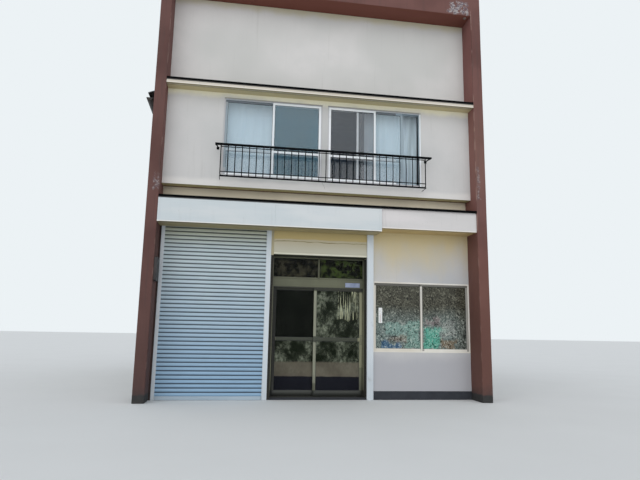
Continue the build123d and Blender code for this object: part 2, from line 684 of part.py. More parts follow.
def window_pieces():
    spans = front_windows()
    frames = [window_frame(*span, y) for span, y, _, _ in spans]
    boxes = [sash_boxes(*span, y, front_side, slid) for span, y, front_side, slid in spans]
    mid_rail = UPPER_SILL + SASH_MID_RISE
    left_cloth = upper_windows()[0][0] + CURTAIN_EDGE
    right_cloth = upper_windows()[1][1] - CURTAIN_EDGE
    return {
        "upper_window_frames": Compound(frames[:2]),
        "upper_window_sashes": sashes(boxes[0] + boxes[1], mid_rail),
        "upper_window_glass": panes(boxes[0] + boxes[1], mid_rail),
        "ground_window_frame": frames[2],
        "ground_window_sashes": sashes(boxes[2]),
        "ground_window_glass": panes(boxes[2]),
        "upper_railing": railing(),
        "railing_brackets": railing_brackets(),
        "curtain_rods": curtain_rods(),
        "left_curtain": curtain(left_cloth, left_cloth + LEFT_CURTAIN_WIDTH),
        "right_curtain": curtain(right_cloth - RIGHT_CURTAIN_WIDTH, right_cloth),
    }


def entrance_pieces():
    return {
        "entrance_step": entrance_step(),
        "entrance_cheeks": entrance_cheeks(),
        "entrance_head": entrance_head(),
        "door_jambs": door_jambs(),
        "door_header": door_header(),
        "door_sill": door_sill(),
        "transom_frame": transom_frame(),
        "transom_glass": transom_glass(),
        "left_door_leaf": door_leaf(-1),
        "left_door_glass": door_glass(-1),
        "right_door_leaf": door_leaf(1),
        "right_door_glass": door_glass(1),
    }


def number_plate():
    width, depth, height = NUMBER_PLATE
    right = FRAME_RIGHT - NUMBER_PLATE_IN
    low = DOORWAY_HEIGHT + NUMBER_PLATE_LIFT
    return block(right - width, right, FRAME_FRONT - depth, FRAME_FRONT, low, low + height)


def thermometer():
    """Narrow plate against the glass of the ground window's rear sash."""
    width, depth, height = THERMOMETER
    span, y, front_side, slid = front_windows()[2]
    rear_sash_y = sash_boxes(*span, y, front_side, slid)[1][4]
    pane_face = rear_sash_y + (SASH_THICKNESS - GLASS) / 2
    left = RIGHT_BAY_LEFT + THERMOMETER_IN
    low = GROUND_SILL + THERMOMETER_RISE
    return block(left, left + width, pane_face - depth, pane_face, low, low + height)


def fin_box():
    width, depth, height = FIN_BOX
    return block(-HALF_BAY, -HALF_BAY + width, FIN_BOX_BACK, FIN_BOX_BACK + depth,
                 FIN_BOX_LOW, FIN_BOX_LOW + height)


def soffit_lamp():
    place = Pos(HALF_BAY - SOFFIT_LAMP_IN, FRONT + SOFFIT_LAMP_IN, FIN_HEIGHT - SOFFIT_LAMP_HEIGHT / 2)
    return place * Cylinder(SOFFIT_LAMP_RADIUS, SOFFIT_LAMP_HEIGHT)


def small_pieces():
    return {
        "number_plate": number_plate(),
        "thermometer": thermometer(),
        "fin_box": fin_box(),
        "soffit_lamp": soffit_lamp(),
    }


def rear_window_frames(y):
    """Each rear window's fixed frame with its two sashes in it."""
    windows = []
    for span in rear_windows():
        window = window_frame(*span, y)
        for sash in sashes(sash_boxes(*span, y, "right")):
            window += sash
        windows.append(window)
    return Compound(windows)


def body_pieces():
    rear_y = REAR_INNER + (SIDE_WALL - WINDOW_DEPTH) / 2
    rear_boxes = [box for span in rear_windows() for box in sash_boxes(*span, rear_y, "right")]
    return {
        "foundation": foundation(),
        "upper_floor": block(-HALF_BAY, HALF_BAY, UPPER_WALL_BACK, REAR_INNER, FLOOR_UNDERSIDE,
                             FLOOR_TOP),
        "left_wall": side_wall(-1),
        "right_wall": side_wall(1),
        "rear_ground_wall": rear_ground_wall(),
        "rear_gable_wall": rear_gable_wall(),
        "rear_window_frames": rear_window_frames(rear_y),
        "rear_window_glass": panes(rear_boxes),
        "roof_left": roof_side(-1),
        "roof_right": roof_side(1),
        "ridge_cap": ridge_cap(),
        "gutters": Compound([gutter(-1), gutter(1)]),
        "downpipes": Compound([downpipe(-1), downpipe(1)]),
    }


def main():
    os.makedirs("parts", exist_ok=True)
    groups = (body_pieces(), front_wall_pieces(), shutter_pieces(), window_pieces(),
              entrance_pieces(), small_pieces())
    for group in groups:
        for name, solid in group.items():
            export_step(solid, f"parts/{name}.step")
            print(name)


main()
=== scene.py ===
# %% [markdown] # A narrow town house behind a false front The house is a plain box of two
# storeys with a tiled roof. Its front hangs inside a painted frame: two side fins and a beam
# across them. The CAD model gives every solid its place. This script dresses those solids:
# rounded render, folded metal, slats, sashes, bars, cloth and tiles. The dressed house may not
# grow.

# %% Load the frame
import math

import bmesh
import bpy
import numpy as np
from mathutils import Matrix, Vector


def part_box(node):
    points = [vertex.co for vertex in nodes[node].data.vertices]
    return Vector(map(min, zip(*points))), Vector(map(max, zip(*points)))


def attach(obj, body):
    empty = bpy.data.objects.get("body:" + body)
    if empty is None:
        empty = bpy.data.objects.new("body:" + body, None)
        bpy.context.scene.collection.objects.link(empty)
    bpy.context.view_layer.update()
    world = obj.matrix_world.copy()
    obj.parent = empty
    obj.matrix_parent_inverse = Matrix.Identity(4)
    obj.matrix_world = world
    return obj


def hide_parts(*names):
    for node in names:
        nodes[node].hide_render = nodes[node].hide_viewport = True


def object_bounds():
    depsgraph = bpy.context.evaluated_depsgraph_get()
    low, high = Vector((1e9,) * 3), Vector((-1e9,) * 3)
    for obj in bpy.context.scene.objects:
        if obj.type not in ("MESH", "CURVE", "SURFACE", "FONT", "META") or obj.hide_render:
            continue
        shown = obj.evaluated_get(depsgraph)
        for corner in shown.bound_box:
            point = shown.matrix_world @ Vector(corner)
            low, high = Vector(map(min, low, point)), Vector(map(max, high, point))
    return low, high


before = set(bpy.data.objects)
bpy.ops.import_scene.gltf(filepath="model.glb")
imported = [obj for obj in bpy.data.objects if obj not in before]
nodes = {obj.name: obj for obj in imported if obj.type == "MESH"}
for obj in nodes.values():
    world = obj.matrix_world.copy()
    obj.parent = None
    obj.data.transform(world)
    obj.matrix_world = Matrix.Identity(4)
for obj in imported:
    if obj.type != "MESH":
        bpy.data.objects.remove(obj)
cad_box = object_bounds()
scene = bpy.context.scene
scene.view_settings.view_transform = "Standard"
print(len(nodes), "solids between", [tuple(round(c, 3) for c in corner) for corner in cad_box])

# %% [markdown]
# ## The camera
#
# The picture was taken by hand from about eight metres away, a little to the left of the middle,
# looking up and slightly turned. Three angles typed into the object would do, but their order is
# easy to mistake. So the camera is placed by a matrix whose columns are its own right, up and
# backward directions, and those come from its turn, its tilt and its roll.

# %% Camera
# The eye was found with y counted from the front, which is half a depth before the frame's origin.
HALF_DEPTH = 4.15
FOCAL_PIXELS = 536.06
PICTURE_WIDTH = 640
TURN, TILT, ROLL = math.radians(8.744), math.radians(9.719), math.radians(1.037)
EYE = (-1.370, -8.449 - HALF_DEPTH, 1.085)


def placed(name, data, axes=None, spot=(0, 0, 0)):
    """An object put in the scene; axes are the directions of its own x, y and z."""
    thing = bpy.data.objects.new(name, data)
    scene.collection.objects.link(thing)
    if axes is not None:
        matrix = np.eye(4)
        matrix[:3] = np.stack([*axes, spot], -1)
        thing.matrix_world = Matrix(matrix.tolist())
    return thing


forward = np.array([math.sin(TURN) * math.cos(TILT), math.cos(TURN) * math.cos(TILT), math.sin(TILT)])
level_right = np.array([math.cos(TURN), -math.sin(TURN), 0])
level_up = np.cross(level_right, forward)
right = math.cos(ROLL) * level_right + math.sin(ROLL) * level_up
up = math.cos(ROLL) * level_up - math.sin(ROLL) * level_right
view = bpy.data.cameras.new("front_view")
view.sensor_width = 36
view.lens = FOCAL_PIXELS * view.sensor_width / PICTURE_WIDTH
scene.camera = placed("front_view", view, (right, up, -forward), EYE)
print("camera lens", round(view.lens, 2), "mm")

# %% [markdown]
# ## Light
#
# The front is lit by an open sky, with no hard shadow anywhere. Lamps round the house could
# imitate that, but each would leave a shadow of its own. So the sky does most of the work: an
# even, faintly blue world. One very wide, low sun from the front left models the forms a little
# and reaches under the ledges. What the camera, gloss and glass see of the world is a separate
# pale background.

# %% Colours, sky and sun
def paint(red, green, blue):
    """A colour from 0 to 255 as a screen shows it, turned into the light values that Blender mixes."""
    share = np.array([red, green, blue]) / 255
    light = np.where(share <= 0.04045, share / 12.92, ((share + 0.055) / 1.055) ** 2.4)
    return tuple(float(value) for value in light)


sky = bpy.data.worlds.new("sky")
scene.world = sky
sky.use_nodes = True
sky_nodes, link = sky.node_tree.nodes, sky.node_tree.links.new
lighting, backdrop = sky_nodes["Background"], sky_nodes.new("ShaderNodeBackground")
for background, colour, strength in ((lighting, (246, 250, 255), 0.70), (backdrop, (236, 242, 245), 1)):
    background.inputs["Color"].default_value = (*paint(*colour), 1)
    background.inputs["Strength"].default_value = strength
ray = sky_nodes.new("ShaderNodeLightPath")
seen = ray.outputs["Is Camera Ray"]
for kind in ("Is Glossy Ray", "Is Transmission Ray"):
    either = sky_nodes.new("ShaderNodeMath")
    either.operation = "MAXIMUM"
    link(seen, either.inputs[0])
    link(ray.outputs[kind], either.inputs[1])
    seen = either.outputs[0]
switch = sky_nodes.new("ShaderNodeMixShader")
for socket, source in enumerate((seen, lighting.outputs[0], backdrop.outputs[0])):
    link(source, switch.inputs[socket])
link(switch.outputs[0], sky_nodes["World Output"].inputs[0])

SUN_FROM = np.array([-0.3, -1.0, 0.42])
sun = bpy.data.lights.new("soft_sun", "SUN")
sun.energy = 1.1
sun.angle = math.radians(80)
across = np.cross([0, 0, 1], SUN_FROM)
axes = (across, np.cross(SUN_FROM, across), SUN_FROM)
placed("soft_sun", sun, [axis / np.linalg.norm(axis) for axis in axes])
print("sky strength", lighting.inputs["Strength"].default_value, "sun", sun.energy)

# %% [markdown]
# ## Shapes as arrays
#
# Almost everything on this house is a section carried along a straight line, a section carried
# round a rectangle, or a thin sheet. Cubes and modifiers could be bent into most of it, but then
# the sizes hide in settings. So each shape is a grid of points held in one array, with quads
# between neighbours. A grid closes into a solid with a cap at each end, or with a rim.

# %% Grids, lofts and shells
def quads(rows, columns, close_rows=False, close_columns=False):
    """Corner numbers of the quads of a grid; a closed direction joins its last line to its first."""
    number = np.arange(rows * columns).reshape(rows, columns)
    if close_rows:
        number = np.vstack([number, number[:1]])
    if close_columns:
        number = np.hstack([number, number[:, :1]])
    corners = (number[:-1, :-1], number[:-1, 1:], number[1:, 1:], number[1:, :-1])
    return np.stack(corners, -1).reshape(-1, 4)


def loft(rings, closed=False):
    """Rings (stations x points x 3) joined by quads, with a flat cap on both ends unless closed."""
    stations, count = rings.shape[:2]
    faces = [quads(stations, count, closed, True)]
    if not closed:
        first = np.arange(count)
        faces += [first[None, ::-1], (stations - 1) * count + first[None]]
    return rings.reshape(-1, 3), faces


def shell(front, back):
    """A thin closed sheet between two grids of one shape: both faces and a rim of quads round them."""
    rows, columns = front.shape[:2]
    number = np.arange(rows * columns).reshape(rows, columns)
    rim = np.concatenate([number[0], number[1:, -1], number[-1, -2::-1], number[-2:0:-1, 0]])
    after, behind = np.roll(rim, -1), rows * columns
    faces = quads(rows, columns)
    edge = np.stack([after, rim, rim + behind, after + behind], -1)
    points = np.concatenate([front.reshape(-1, 3), back.reshape(-1, 3)])
    return points, [faces, faces[:, ::-1] + behind, edge]


def joined(solids):
    """Several solids as one: the faces of each are counted on from the points before it."""
    solids = list(solids)
    starts = np.cumsum([0] + [len(points) for points, _ in solids])
    faces = [block + start for (_, blocks), start in zip(solids, starts) for block in blocks]
    return np.concatenate([points for points, _ in solids]), faces


def run(outline, axis, stops):
    """A flat outline carried straight through the stops along an axis. The outline's two numbers are
    places on the other two axes."""
    outline = np.asarray(outline, float)
    stops = np.asarray(stops, float)
    rings = np.empty((len(stops), len(outline), 3))
    rings[..., axis] = stops[:, None]
    rings[..., [other for other in range(3) if other != axis]] = outline
    return loft(rings)


def bar(x0, x1, y0, y1, z0, z1):
    """A squared bar: the rectangle of its foot carried up to its top."""
    return run([(x0, y0), (x1, y0), (x1, y1), (x0, y1)], 2, (z0, z1))


def round_corners(x0, x1, y0, y1, radius, steps=5):
    """Outline of a rectangle: at each corner, its centre plus the radius times (cosine, sine)."""
    turns = np.linspace(0, math.pi / 2, steps) + np.arange(4)[:, None] * math.pi / 2
    centre_x = np.array([[x1], [x0], [x0], [x1]]) + radius * np.array([[-1], [1], [1], [-1]])
    centre_y = np.array([[y1], [y1], [y0], [y0]]) + radius * np.array([[-1], [-1], [1], [1]])
    outline = np.stack([centre_x + radius * np.cos(turns), centre_y + radius * np.sin(turns)], -1)
    return outline.reshape(-1, 2)


print("a squared bar has", len(bar(0, 1, 0, 1, 0, 1)[0]), "points")

# %% [markdown]
# ## From a solid to a piece
#
# A solid becomes a piece of the house once it has a finish, rides on its body and names the CAD
# solids that it replaces. Worn edges could be drawn into every section. A narrow bevel adds them
# in one place instead, and only where the angle between two faces is a real edge.

# %% Pieces
SHARP = math.radians(35)


def piece(name, solid, finish, replaces=(), body="house", edge=0.0):
    """A mesh object of one solid, riding on its body; edge is the width of its rounded edges."""
    points, faces = solid
    mesh = bpy.data.meshes.new(name)
    mesh.from_pydata(points, [], [face for block in faces for face in block.tolist()])
    work = bmesh.new()
    work.from_mesh(mesh)
    bmesh.ops.recalc_face_normals(work, faces=work.faces)
    work.to_mesh(mesh)
    work.free()
    mesh.polygons.foreach_set("use_smooth", np.ones(len(mesh.polygons), bool))
    mesh.set_sharp_from_angle(angle=SHARP)
    mesh.materials.append(finish)
    thing = placed(name, mesh)
    if edge:
        rounding = thing.modifiers.new("worn_edges", "BEVEL")
        rounding.width = edge
        rounding.segments = 2
        rounding.angle_limit = SHARP
        rounding.harden_normals = True
    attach(thing, body)
    if replaces:
        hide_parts(*replaces)
    print(f"{name}: {len(points)} points, {len(mesh.polygons)} faces")
    return thing


print("edges are sharp from", round(math.degrees(SHARP)), "degrees")

# %% [markdown]
# ## Materials as formulas
#
# Paint, render and metal are told apart by the way their colour clouds, runs and wears. Pictures
# of them could be wrapped round the house, but they blur up close and repeat. So a material is
# built from noise, places and heights. Most methods of the class add nodes and give back an
# output, so a recipe reads as a formula: a colour to start from, then coats laid over it where a
# mask says. Colours are written from 0 to 255, as a screen shows them.

# %% Materials
EVEN = (1, 1, 1)


class Finish:
    """One material, with its colour so far, the place (x, y, z) and how far the surface faces up."""

    def __init__(self, name, **sockets):
        self.material = bpy.data.materials.new(name)
        self.material.use_nodes = True
        self.tree = self.material.node_tree
        self.shader = self.tree.nodes["Principled BSDF"]
        for socket, value in sockets.items():
            self.put(self.shader.inputs[socket.replace("_", " ")], value)
        where = self.tree.nodes.new("ShaderNodeTexCoord")
        self.object = where.outputs["Object"]
        self.x, self.y, self.z = self.node("SeparateXYZ", {0: self.object}).outputs
        self.faces_up = self.node("SeparateXYZ", {0: where.outputs["Normal"]}).outputs[2]

    def put(self, socket, value):
        """Wires a node's output into a socket, or writes a plain value there."""
        if isinstance(value, bpy.types.NodeSocket):
            self.tree.links.new(value, socket)
        elif socket.type == "RGBA":
            socket.default_value = (*paint(*value), 1)
        else:
            socket.default_value = value

    def node(self, kind, inputs, **settings):
        """One node, with its settings and what goes into it."""
        made = self.tree.nodes.new("ShaderNode" + kind)
        for setting, value in settings.items():
            setattr(made, setting, value)
        for socket, value in inputs.items():
            self.put(made.inputs[socket], value)
        return made

    def sum(self, operation, *values):
        """Arithmetic on numbers: ADD, SUBTRACT, MAXIMUM and the like."""
        return self.node("Math", dict(enumerate(values)), operation=operation).outputs[0]

    def part(self, mask, *others):
        """The product of masks and shares: 1 only where all of them are."""
        for other in others:
            mask = self.sum("MULTIPLY", mask, other)
        return mask

    def over(self, value, limit):
        """1 where a value is greater than the limit."""
        return self.sum("GREATER_THAN", value, limit)

    def under(self, value, limit):
        """1 where a value is less than the limit."""
        return self.sum("LESS_THAN", value, limit)

    def noise(self, scale, detail=4, stretch=EVEN, rough=0.5):
        """Cloudy noise, scale blobs to a metre; stretch multiplies x, y and z, and a small number
        draws the blobs out into streaks along its axis."""
        spot = self.node("Mapping", {"Vector": self.object, "Scale": stretch}).outputs[0]
        inputs = {"Vector": spot, "Scale": scale, "Detail": detail, "Roughness": rough}
        return self.node("TexNoise", inputs).outputs[0]

    def between(self, value, low, high):
        """0 at low, 1 at high, eased; low may be the greater one."""
        inputs = {"Value": value, "From Min": low, "From Max": high}
        return self.node("MapRange", inputs, interpolation_type="SMOOTHSTEP").outputs[0]

    def cloud(self, low, high, *shape):
        """A mask from noise of that shape: 0 where it is low, 1 where it is high."""
        return self.between(self.noise(*shape), low, high)

    def wavy(self, reach, *shape):
        """The height, shifted by noise over a reach, so that a level line wanders."""
        return self.sum("ADD", self.z, self.part(self.noise(*shape), reach))

    def blend(self, amount, first, second):
        """The first colour where amount is 0 and the second where it is 1."""
        return self.node("Mix", {0: amount, 6: first, 7: second}, data_type="RGBA").outputs[2]

    def coat(self, mask, colour, share=None):
        """Lays a colour over the colour so far where the mask says, thinner by the share."""
        mask = mask if share is None else self.part(mask, share)
        self.colour = self.blend(mask, self.colour, colour)

    def patch(self, x0, x1, z0, z1, ragged, grain=18.0):
        """1 inside an upright rectangle, with edges that noise eats away over a ragged distance."""
        wander = self.sum("MULTIPLY_ADD", self.noise(grain, 6, EVEN, 0.7), 4 * ragged, -2 * ragged)
        side = self.sum("ABSOLUTE", self.sum("SUBTRACT", self.x, (x0 + x1) / 2))
        rise = self.sum("ABSOLUTE", self.sum("SUBTRACT", self.z, (z0 + z1) / 2))
        inside = self.sum("MINIMUM", self.sum("SUBTRACT", (x1 - x0) / 2, side),
                          self.sum("SUBTRACT", (z1 - z0) / 2, rise))
        return self.between(self.sum("ADD", inside, wander), -ragged / 4, ragged / 4)

    def done(self, *bumps):
        """Wires the colour and a chain of bumps given as (height, depth in metres)."""
        self.put(self.shader.inputs["Base Color"], self.colour)
        normal = None
        for height, depth in bumps:
            bump = self.node("Bump", {"Height": height, "Distance": depth, "Strength": 1})
            if normal is not None:
                self.put(bump.inputs["Normal"], normal)
            normal = bump.outputs[0]
        if normal is not None:
            self.put(self.shader.inputs["Normal"], normal)
        return self.material


print("words of a recipe:", ", ".join(word for word in vars(Finish) if word[0] != "_"))

# %% [markdown]
# ## The floor
#
# The house stands on a wide, plain, pale floor, which isn't part of it. It could be curved up
# into a backdrop, but the pale world already closes the view, so one quad is enough. It lies two
# millimetres low, so that it never lies in one plane with the foot of the walls.

# %% Floor
FLOOR_REACH, FLOOR_TOP = 120.0, -0.002
f = Finish("floor_grey", Roughness=0.9)
f.colour = f.blend(f.noise(0.8), (222, 224, 224), (228, 230, 230))
corners = [(x * FLOOR_REACH, y * FLOOR_REACH, FLOOR_TOP) for y in (-1, 1) for x in (-1, 1)]
floor_mesh = bpy.data.meshes.new("floor")
floor_mesh.from_pydata(corners, [], [(0, 1, 3, 2)])
floor_mesh.materials.append(f.done())
floor = placed("floor", floor_mesh)
print("floor", 2 * FLOOR_REACH, "m across")

# %% [markdown]
# ## The painted frame
#
# Fins and beam are one frame of masonry, rendered and then painted brown. Three boxes would leave
# a seam where they meet. So one section with worn round corners goes up the left fin, mitres into
# the beam, and comes down the right fin. Slow waves draw the section in by a few millimetres,
# because no rendered pier is dead straight.

# %% Portal of two fins and a beam
FRONT = cad_box[0][1]
fin_low, fin_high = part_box("left_fin")
beam_low, beam_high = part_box("head_beam")
FIN_INNER_FACE = abs(fin_high.x)
# Peeled places: x from, x to, z from, z to, ragged distance, grain, and how strongly they show.
PEELED = ((2.22, 2.59, 6.84, 7.08, 0.10, 9, 0.9), (2.665, 2.71, 3.40, 3.95, 0.05, 14, 0.5),
          (-2.72, -2.60, 3.26, 3.50, 0.08, 14, 0.5))


def portal(low, high, leg, beam, radius):
    """The section's points are measured in from the outer edge. They follow four key rings (left foot,
    left mitre, right mitre, right foot), with even rings between them, all drawn in by slow waves."""
    outline = round_corners(0, leg, low[1], high[1], radius)
    inset, depth = outline[:, 0], outline[:, 1]
    drop = np.where(inset > leg / 2, inset + beam - leg, inset)
    foot, mitre = np.full_like(inset, low[2]), high[2] - drop
    left_x, right_x = low[0] + inset, high[0] - inset
    keys = [np.stack([x, depth, z], -1) for x, z in
            ((left_x, foot), (left_x, mitre), (right_x, mitre), (right_x, foot))]
    rings = []
    for first, last, steps in zip(keys, keys[1:], (70, 56, 70)):
        share = np.linspace(0, 1, steps, endpoint=False)[:, None, None]
        rings.append(first + (last - first) * share)
    rings = np.concatenate(rings + [keys[-1][None]])
    middle = rings.mean(1, keepdims=True)
    step = np.arange(len(rings))[:, None, None]
    wave = 0.5 + 0.3 * np.sin(step * 0.23 + 1) + 0.2 * np.sin(step * 0.61)
    return loft(middle + (rings - middle) * (1 - 0.012 * wave))


def brown_paint():
    """Brown masonry paint: cloudy, streaked downwards, chalky where it wears, dark at the foot, and
    grey where it has peeled. Painted light makes the fins' sides, their worn inner edges and a band
    of the right fin lighter; painted shade darkens the left fin and the beam's underside."""
    f = Finish("brown_masonry_paint", Roughness=0.82)
    f.colour = f.blend(f.cloud(0.3, 0.7, 1.4, 5), (97, 62, 57), (116, 79, 73))
    f.coat(f.cloud(0.5, 0.72, 3.0, 6, (8, 8, 0.35), 0.6), (84, 66, 62), 0.5)
    f.coat(f.cloud(0.66, 0.78, 26, 6, EVEN, 0.7), (140, 112, 106), 0.35)
    # Painted light: the faces behind the front are lighter above about three metres.
    inner_side = f.between(f.y, FRONT + 0.012, FRONT + 0.03)
    f.coat(f.part(inner_side, f.between(f.wavy(0.6, 1.5), 2.9, 3.5)), (150, 96, 90), 0.4)
    # The inner front edges are lighter: partly wear, partly a painted highlight along the round corner.
    corner = f.sum("ABSOLUTE", f.sum("SUBTRACT", f.sum("ABSOLUTE", f.x), FIN_INNER_FACE))
    worn = f.part(f.between(corner, 0.014, 0.004), f.cloud(0.5, 0.62, 9, 5, (1, 1, 0.5)))
    f.coat(f.part(worn, f.between(f.y, FRONT + 0.03, FRONT + 0.01)), (168, 140, 130), 0.6)
    f.coat(f.between(f.wavy(1, 2.5), 3.0, 0.9), (78, 54, 50), 0.6)
    # Painted shade: the left fin is darker.
    f.coat(f.between(f.x, -2.2, -2.6), (60, 40, 34), 0.3)
    right_fin = f.between(f.x, 2.2, 2.6)
    f.coat(f.part(right_fin, f.between(f.wavy(0.8, 1.5), 3.6, 2.6)), (114, 72, 58), 0.4)
    # Painted light: a lighter band on the right fin, between about 3.8 and 4.6 metres.
    f.coat(f.part(right_fin, f.between(f.z, 5.4, 4.6), f.between(f.z, 3.2, 3.8)), (146, 112, 96), 0.2)
    flakes = f.part(f.cloud(0.43, 0.50, 17, 6, EVEN, 0.7), f.between(f.y, FRONT + 0.06, FRONT + 0.02))
    for *place, share in PEELED:
        bare = f.blend(f.cloud(0.4, 0.6, 44), (176, 170, 168), (96, 88, 100))
        f.coat(f.part(f.patch(*place), flakes), bare, share)
    f.coat(f.between(f.wavy(0.5, 6, 5), 0.62, 0.30), (56, 46, 46), 0.55)
    f.coat(f.between(f.wavy(0.05, 9), 0.16, 0.13), f.blend(f.noise(12), (34, 34, 34), (56, 55, 54)))
    # Painted shade: the beam's underside is a deeper red-brown.
    f.coat(f.part(f.between(f.faces_up, -0.6, -0.9), f.between(f.z, 6.7, 6.8)), (112, 60, 46), 0.9)
    return f.done((f.noise(2.2, 3), 0.006), (f.noise(140, 3), 0.0012))


portal_solid = portal((beam_low.x, beam_low.y, 0), beam_high, fin_high.x - fin_low.x,
                      beam_high.z - beam_low.z, 0.012)
piece("painted_portal", portal_solid, brown_paint(),
      ("left_fin", "right_fin", "head_beam"))

# %% [markdown]
# ## Render
#
# The walls are cement render sprayed pale grey. Up close it is a fine grain, and from further off
# it is clouds and drips. Under every ledge a warm tinge is painted light, for the warm light that
# reaches into the shade there. The grain could be modelled, but it is only a millimetre or two
# deep. So it is bump, and the walls keep their CAD meshes. One recipe makes every wall, from its
# own tone, ledges and cracks.

# %% Recipe for render
WARM_LEDGE_LIGHT = (205, 196, 160)
CRACK_WIDTH = 0.005


def crack(f, x0, z0, x1, z1):
    """1 on a thin wandering line between two points of the front: the distance to the line, bent by
    noise, is less than the crack's width, and the place along the line is between its ends."""
    length = math.hypot(x1 - x0, z1 - z0)
    along_x, along_z = (x1 - x0) / length, (z1 - z0) / length
    from_x, from_z = f.sum("SUBTRACT", f.x, x0), f.sum("SUBTRACT", f.z, z0)
    along = f.sum("ADD", f.part(from_x, along_x), f.part(from_z, along_z))
    off = f.sum("SUBTRACT", f.part(from_x, along_z), f.part(from_z, along_x))
    wander = f.sum("MULTIPLY_ADD", f.noise(7, 5, EVEN, 0.7), 0.12, -0.06)
    off = f.sum("ABSOLUTE", f.sum("ADD", off, wander))
    return f.part(f.between(off, CRACK_WIDTH, CRACK_WIDTH / 4), f.between(along, 0, 0.03),
                  f.between(along, length, length - 0.03))


def sprayed(f):
    """The grain of sprayed render: slow waves and a fine roughness."""
    return f.done((f.noise(1.6, 2), 0.004), (f.noise(170, 3, EVEN, 0.6), 0.0016))


def render_coat(name, tone, dim, ledges=(), warm=WARM_LEDGE_LIGHT, share=0.75, soffit=None, cracks=(),
                foot=None, low=None):
    """Cement render: tone with dim clouds and drips, a warm tinge of painted light for a distance under
    each ledge (height, reach), and another tone below a height, given by low (tone, from, to). It is
    damp over the height foot, and soffit is the colour of what faces down, as painted shade."""
    f = Finish(name, Roughness=0.92)
    f.colour = f.blend(f.cloud(0.36, 0.64, 0.55, 3), dim, tone)
    f.coat(f.cloud(0.35, 0.7, 5, 5, EVEN, 0.6), dim, 0.22)
    f.coat(f.cloud(0.56, 0.78, 2.2, 6, (7, 7, 0.3), 0.62), (150, 148, 138), 0.14)
    # Painted light: a warm tone under each ledge, in the shade there.
    for height, reach in ledges:
        ragged = f.sum("MULTIPLY_ADD", f.noise(3.0, 4, (1, 1, 0.5)), reach, -0.5 * reach)
        rise = f.between(f.sum("ADD", f.z, ragged), height - reach, height)
        f.coat(f.part(rise, f.under(f.z, height + 0.002)), warm, share)
    if low is not None:
        lower_tone, start, stop = low
        f.coat(f.between(f.wavy(start - stop, 2), start, stop), lower_tone)
    if foot is not None:
        f.coat(f.between(f.wavy(0.2, 4), foot + 0.35, foot + 0.02), (118, 120, 124), 0.45)
    for line in cracks:
        f.coat(crack(f, *line), (96, 92, 90), 0.4)
    # Painted shade: what faces down takes the soffit colour.
    if soffit is not None:
        f.coat(f.between(f.faces_up, -0.6, -0.9), soffit)
    f.coat(f.cloud(0.42, 0.3, 95, 2), dim, 0.18)
    return sprayed(f)


def dress(finish, *names):
    """Gives a finish to CAD solids that stay as they are."""
    for name in names:
        nodes[name].data.materials.clear()
        nodes[name].data.materials.append(finish)
    print(finish.name, "on", ", ".join(names))


print("cracks are", CRACK_WIDTH, "m wide")

# %% Render on the walls
LINTEL_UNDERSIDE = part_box("front_lintel")[0].z
# The crack under the upper windows: from x and z to x and z.
CRACK = (-0.02, 3.605, 0.035, 3.455)
# Painted light and shade: on the upper wall the ledge tone is nearly white, to lift the shade under the
# hood, the low tone lightens the shade under the sill, and the soffit colour is painted shade.
ledges = ((beam_low.z, 0.17), (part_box("window_hood")[0].z, 0.14))
dress(render_coat("panel_render", (222, 219, 216), (207, 206, 202), ledges), "top_panel")
dress(render_coat("front_render", (213, 211, 209), (199, 199, 197), ledges, (255, 250, 222), 0.9,
                  (190, 182, 138), (CRACK,), low=((228, 225, 221), 3.62, 3.52)), "upper_front_wall")
dress(render_coat("lintel_render", (238, 228, 206), (218, 209, 188)), "front_lintel")
# Painted light: a warm tone in the shade under the lintel and the canopy.
ledges = ((LINTEL_UNDERSIDE, 0.9), (LINTEL_UNDERSIDE, 0.26))
dress(render_coat("bay_render", (206, 204, 202), (188, 190, 193), ledges, (216, 198, 150), 0.8,
                  low=((181, 181, 185), 1.0, 0.7)), "ground_front_wall")
dress(render_coat("side_render", (176, 174, 169), (160, 159, 154), foot=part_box("left_wall")[0].z),
      "left_wall", "right_wall", "rear_ground_wall", "rear_gable_wall")
# Painted shade: below the foot of the panel over the entrance the cheeks are nearly black.
dress(render_coat("cheek_render", (214, 204, 172), (200, 190, 158), low=((46, 44, 40), 2.341, 2.335)),
      "entrance_cheeks")

# %% [markdown]
# The panel over the entrance has its own recipe, because its tones change with the height: tan
# above a ragged line, which is the shutter box's shadow painted on, creamy below it, and dark at
# the foot, as painted shade, where a pale trim strip runs across.

# %% Panel over the entrance
low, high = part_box("entrance_head")
TRIM_LOW, TRIM_HIGH = low.z + 0.012, low.z + 0.040


def head_panel_paint(foot):
    """Cream render: tan above a ragged line as the shutter box's painted shadow, and dark at the foot
    and underneath as painted shade."""
    f = Finish("head_panel_render", Roughness=0.92)
    f.colour = f.blend(f.cloud(0.36, 0.64, 0.8, 3), (206, 196, 170), (200, 190, 160))
    f.coat(f.between(f.z, 2.62, 2.42), (202, 198, 180))
    # Painted shadow of the shutter box.
    f.coat(f.between(f.wavy(0.06, 2.5, 5), 2.635, 2.655), (204, 184, 130))
    line = f.wavy(0.05, 4, 4)
    f.coat(f.part(f.between(line, 2.592, 2.600), f.between(line, 2.612, 2.604), f.cloud(0.3, 0.6, 2.4)),
           (140, 126, 84))
    # Painted shade at the foot and underneath.
    f.coat(f.sum("MAXIMUM", f.between(f.z, foot + 0.002, foot), f.between(f.faces_up, -0.6, -0.9)),
           (54, 54, 42))
    return sprayed(f)


dress(head_panel_paint(TRIM_LOW), "entrance_head")
trim = run(round_corners(low.y - 0.004, low.y + 0.020, TRIM_LOW, TRIM_HIGH, 0.003), 0, (low.x, high.x))
piece("head_trim", trim, render_coat("trim_paint", (232, 230, 212), (222, 219, 198)))

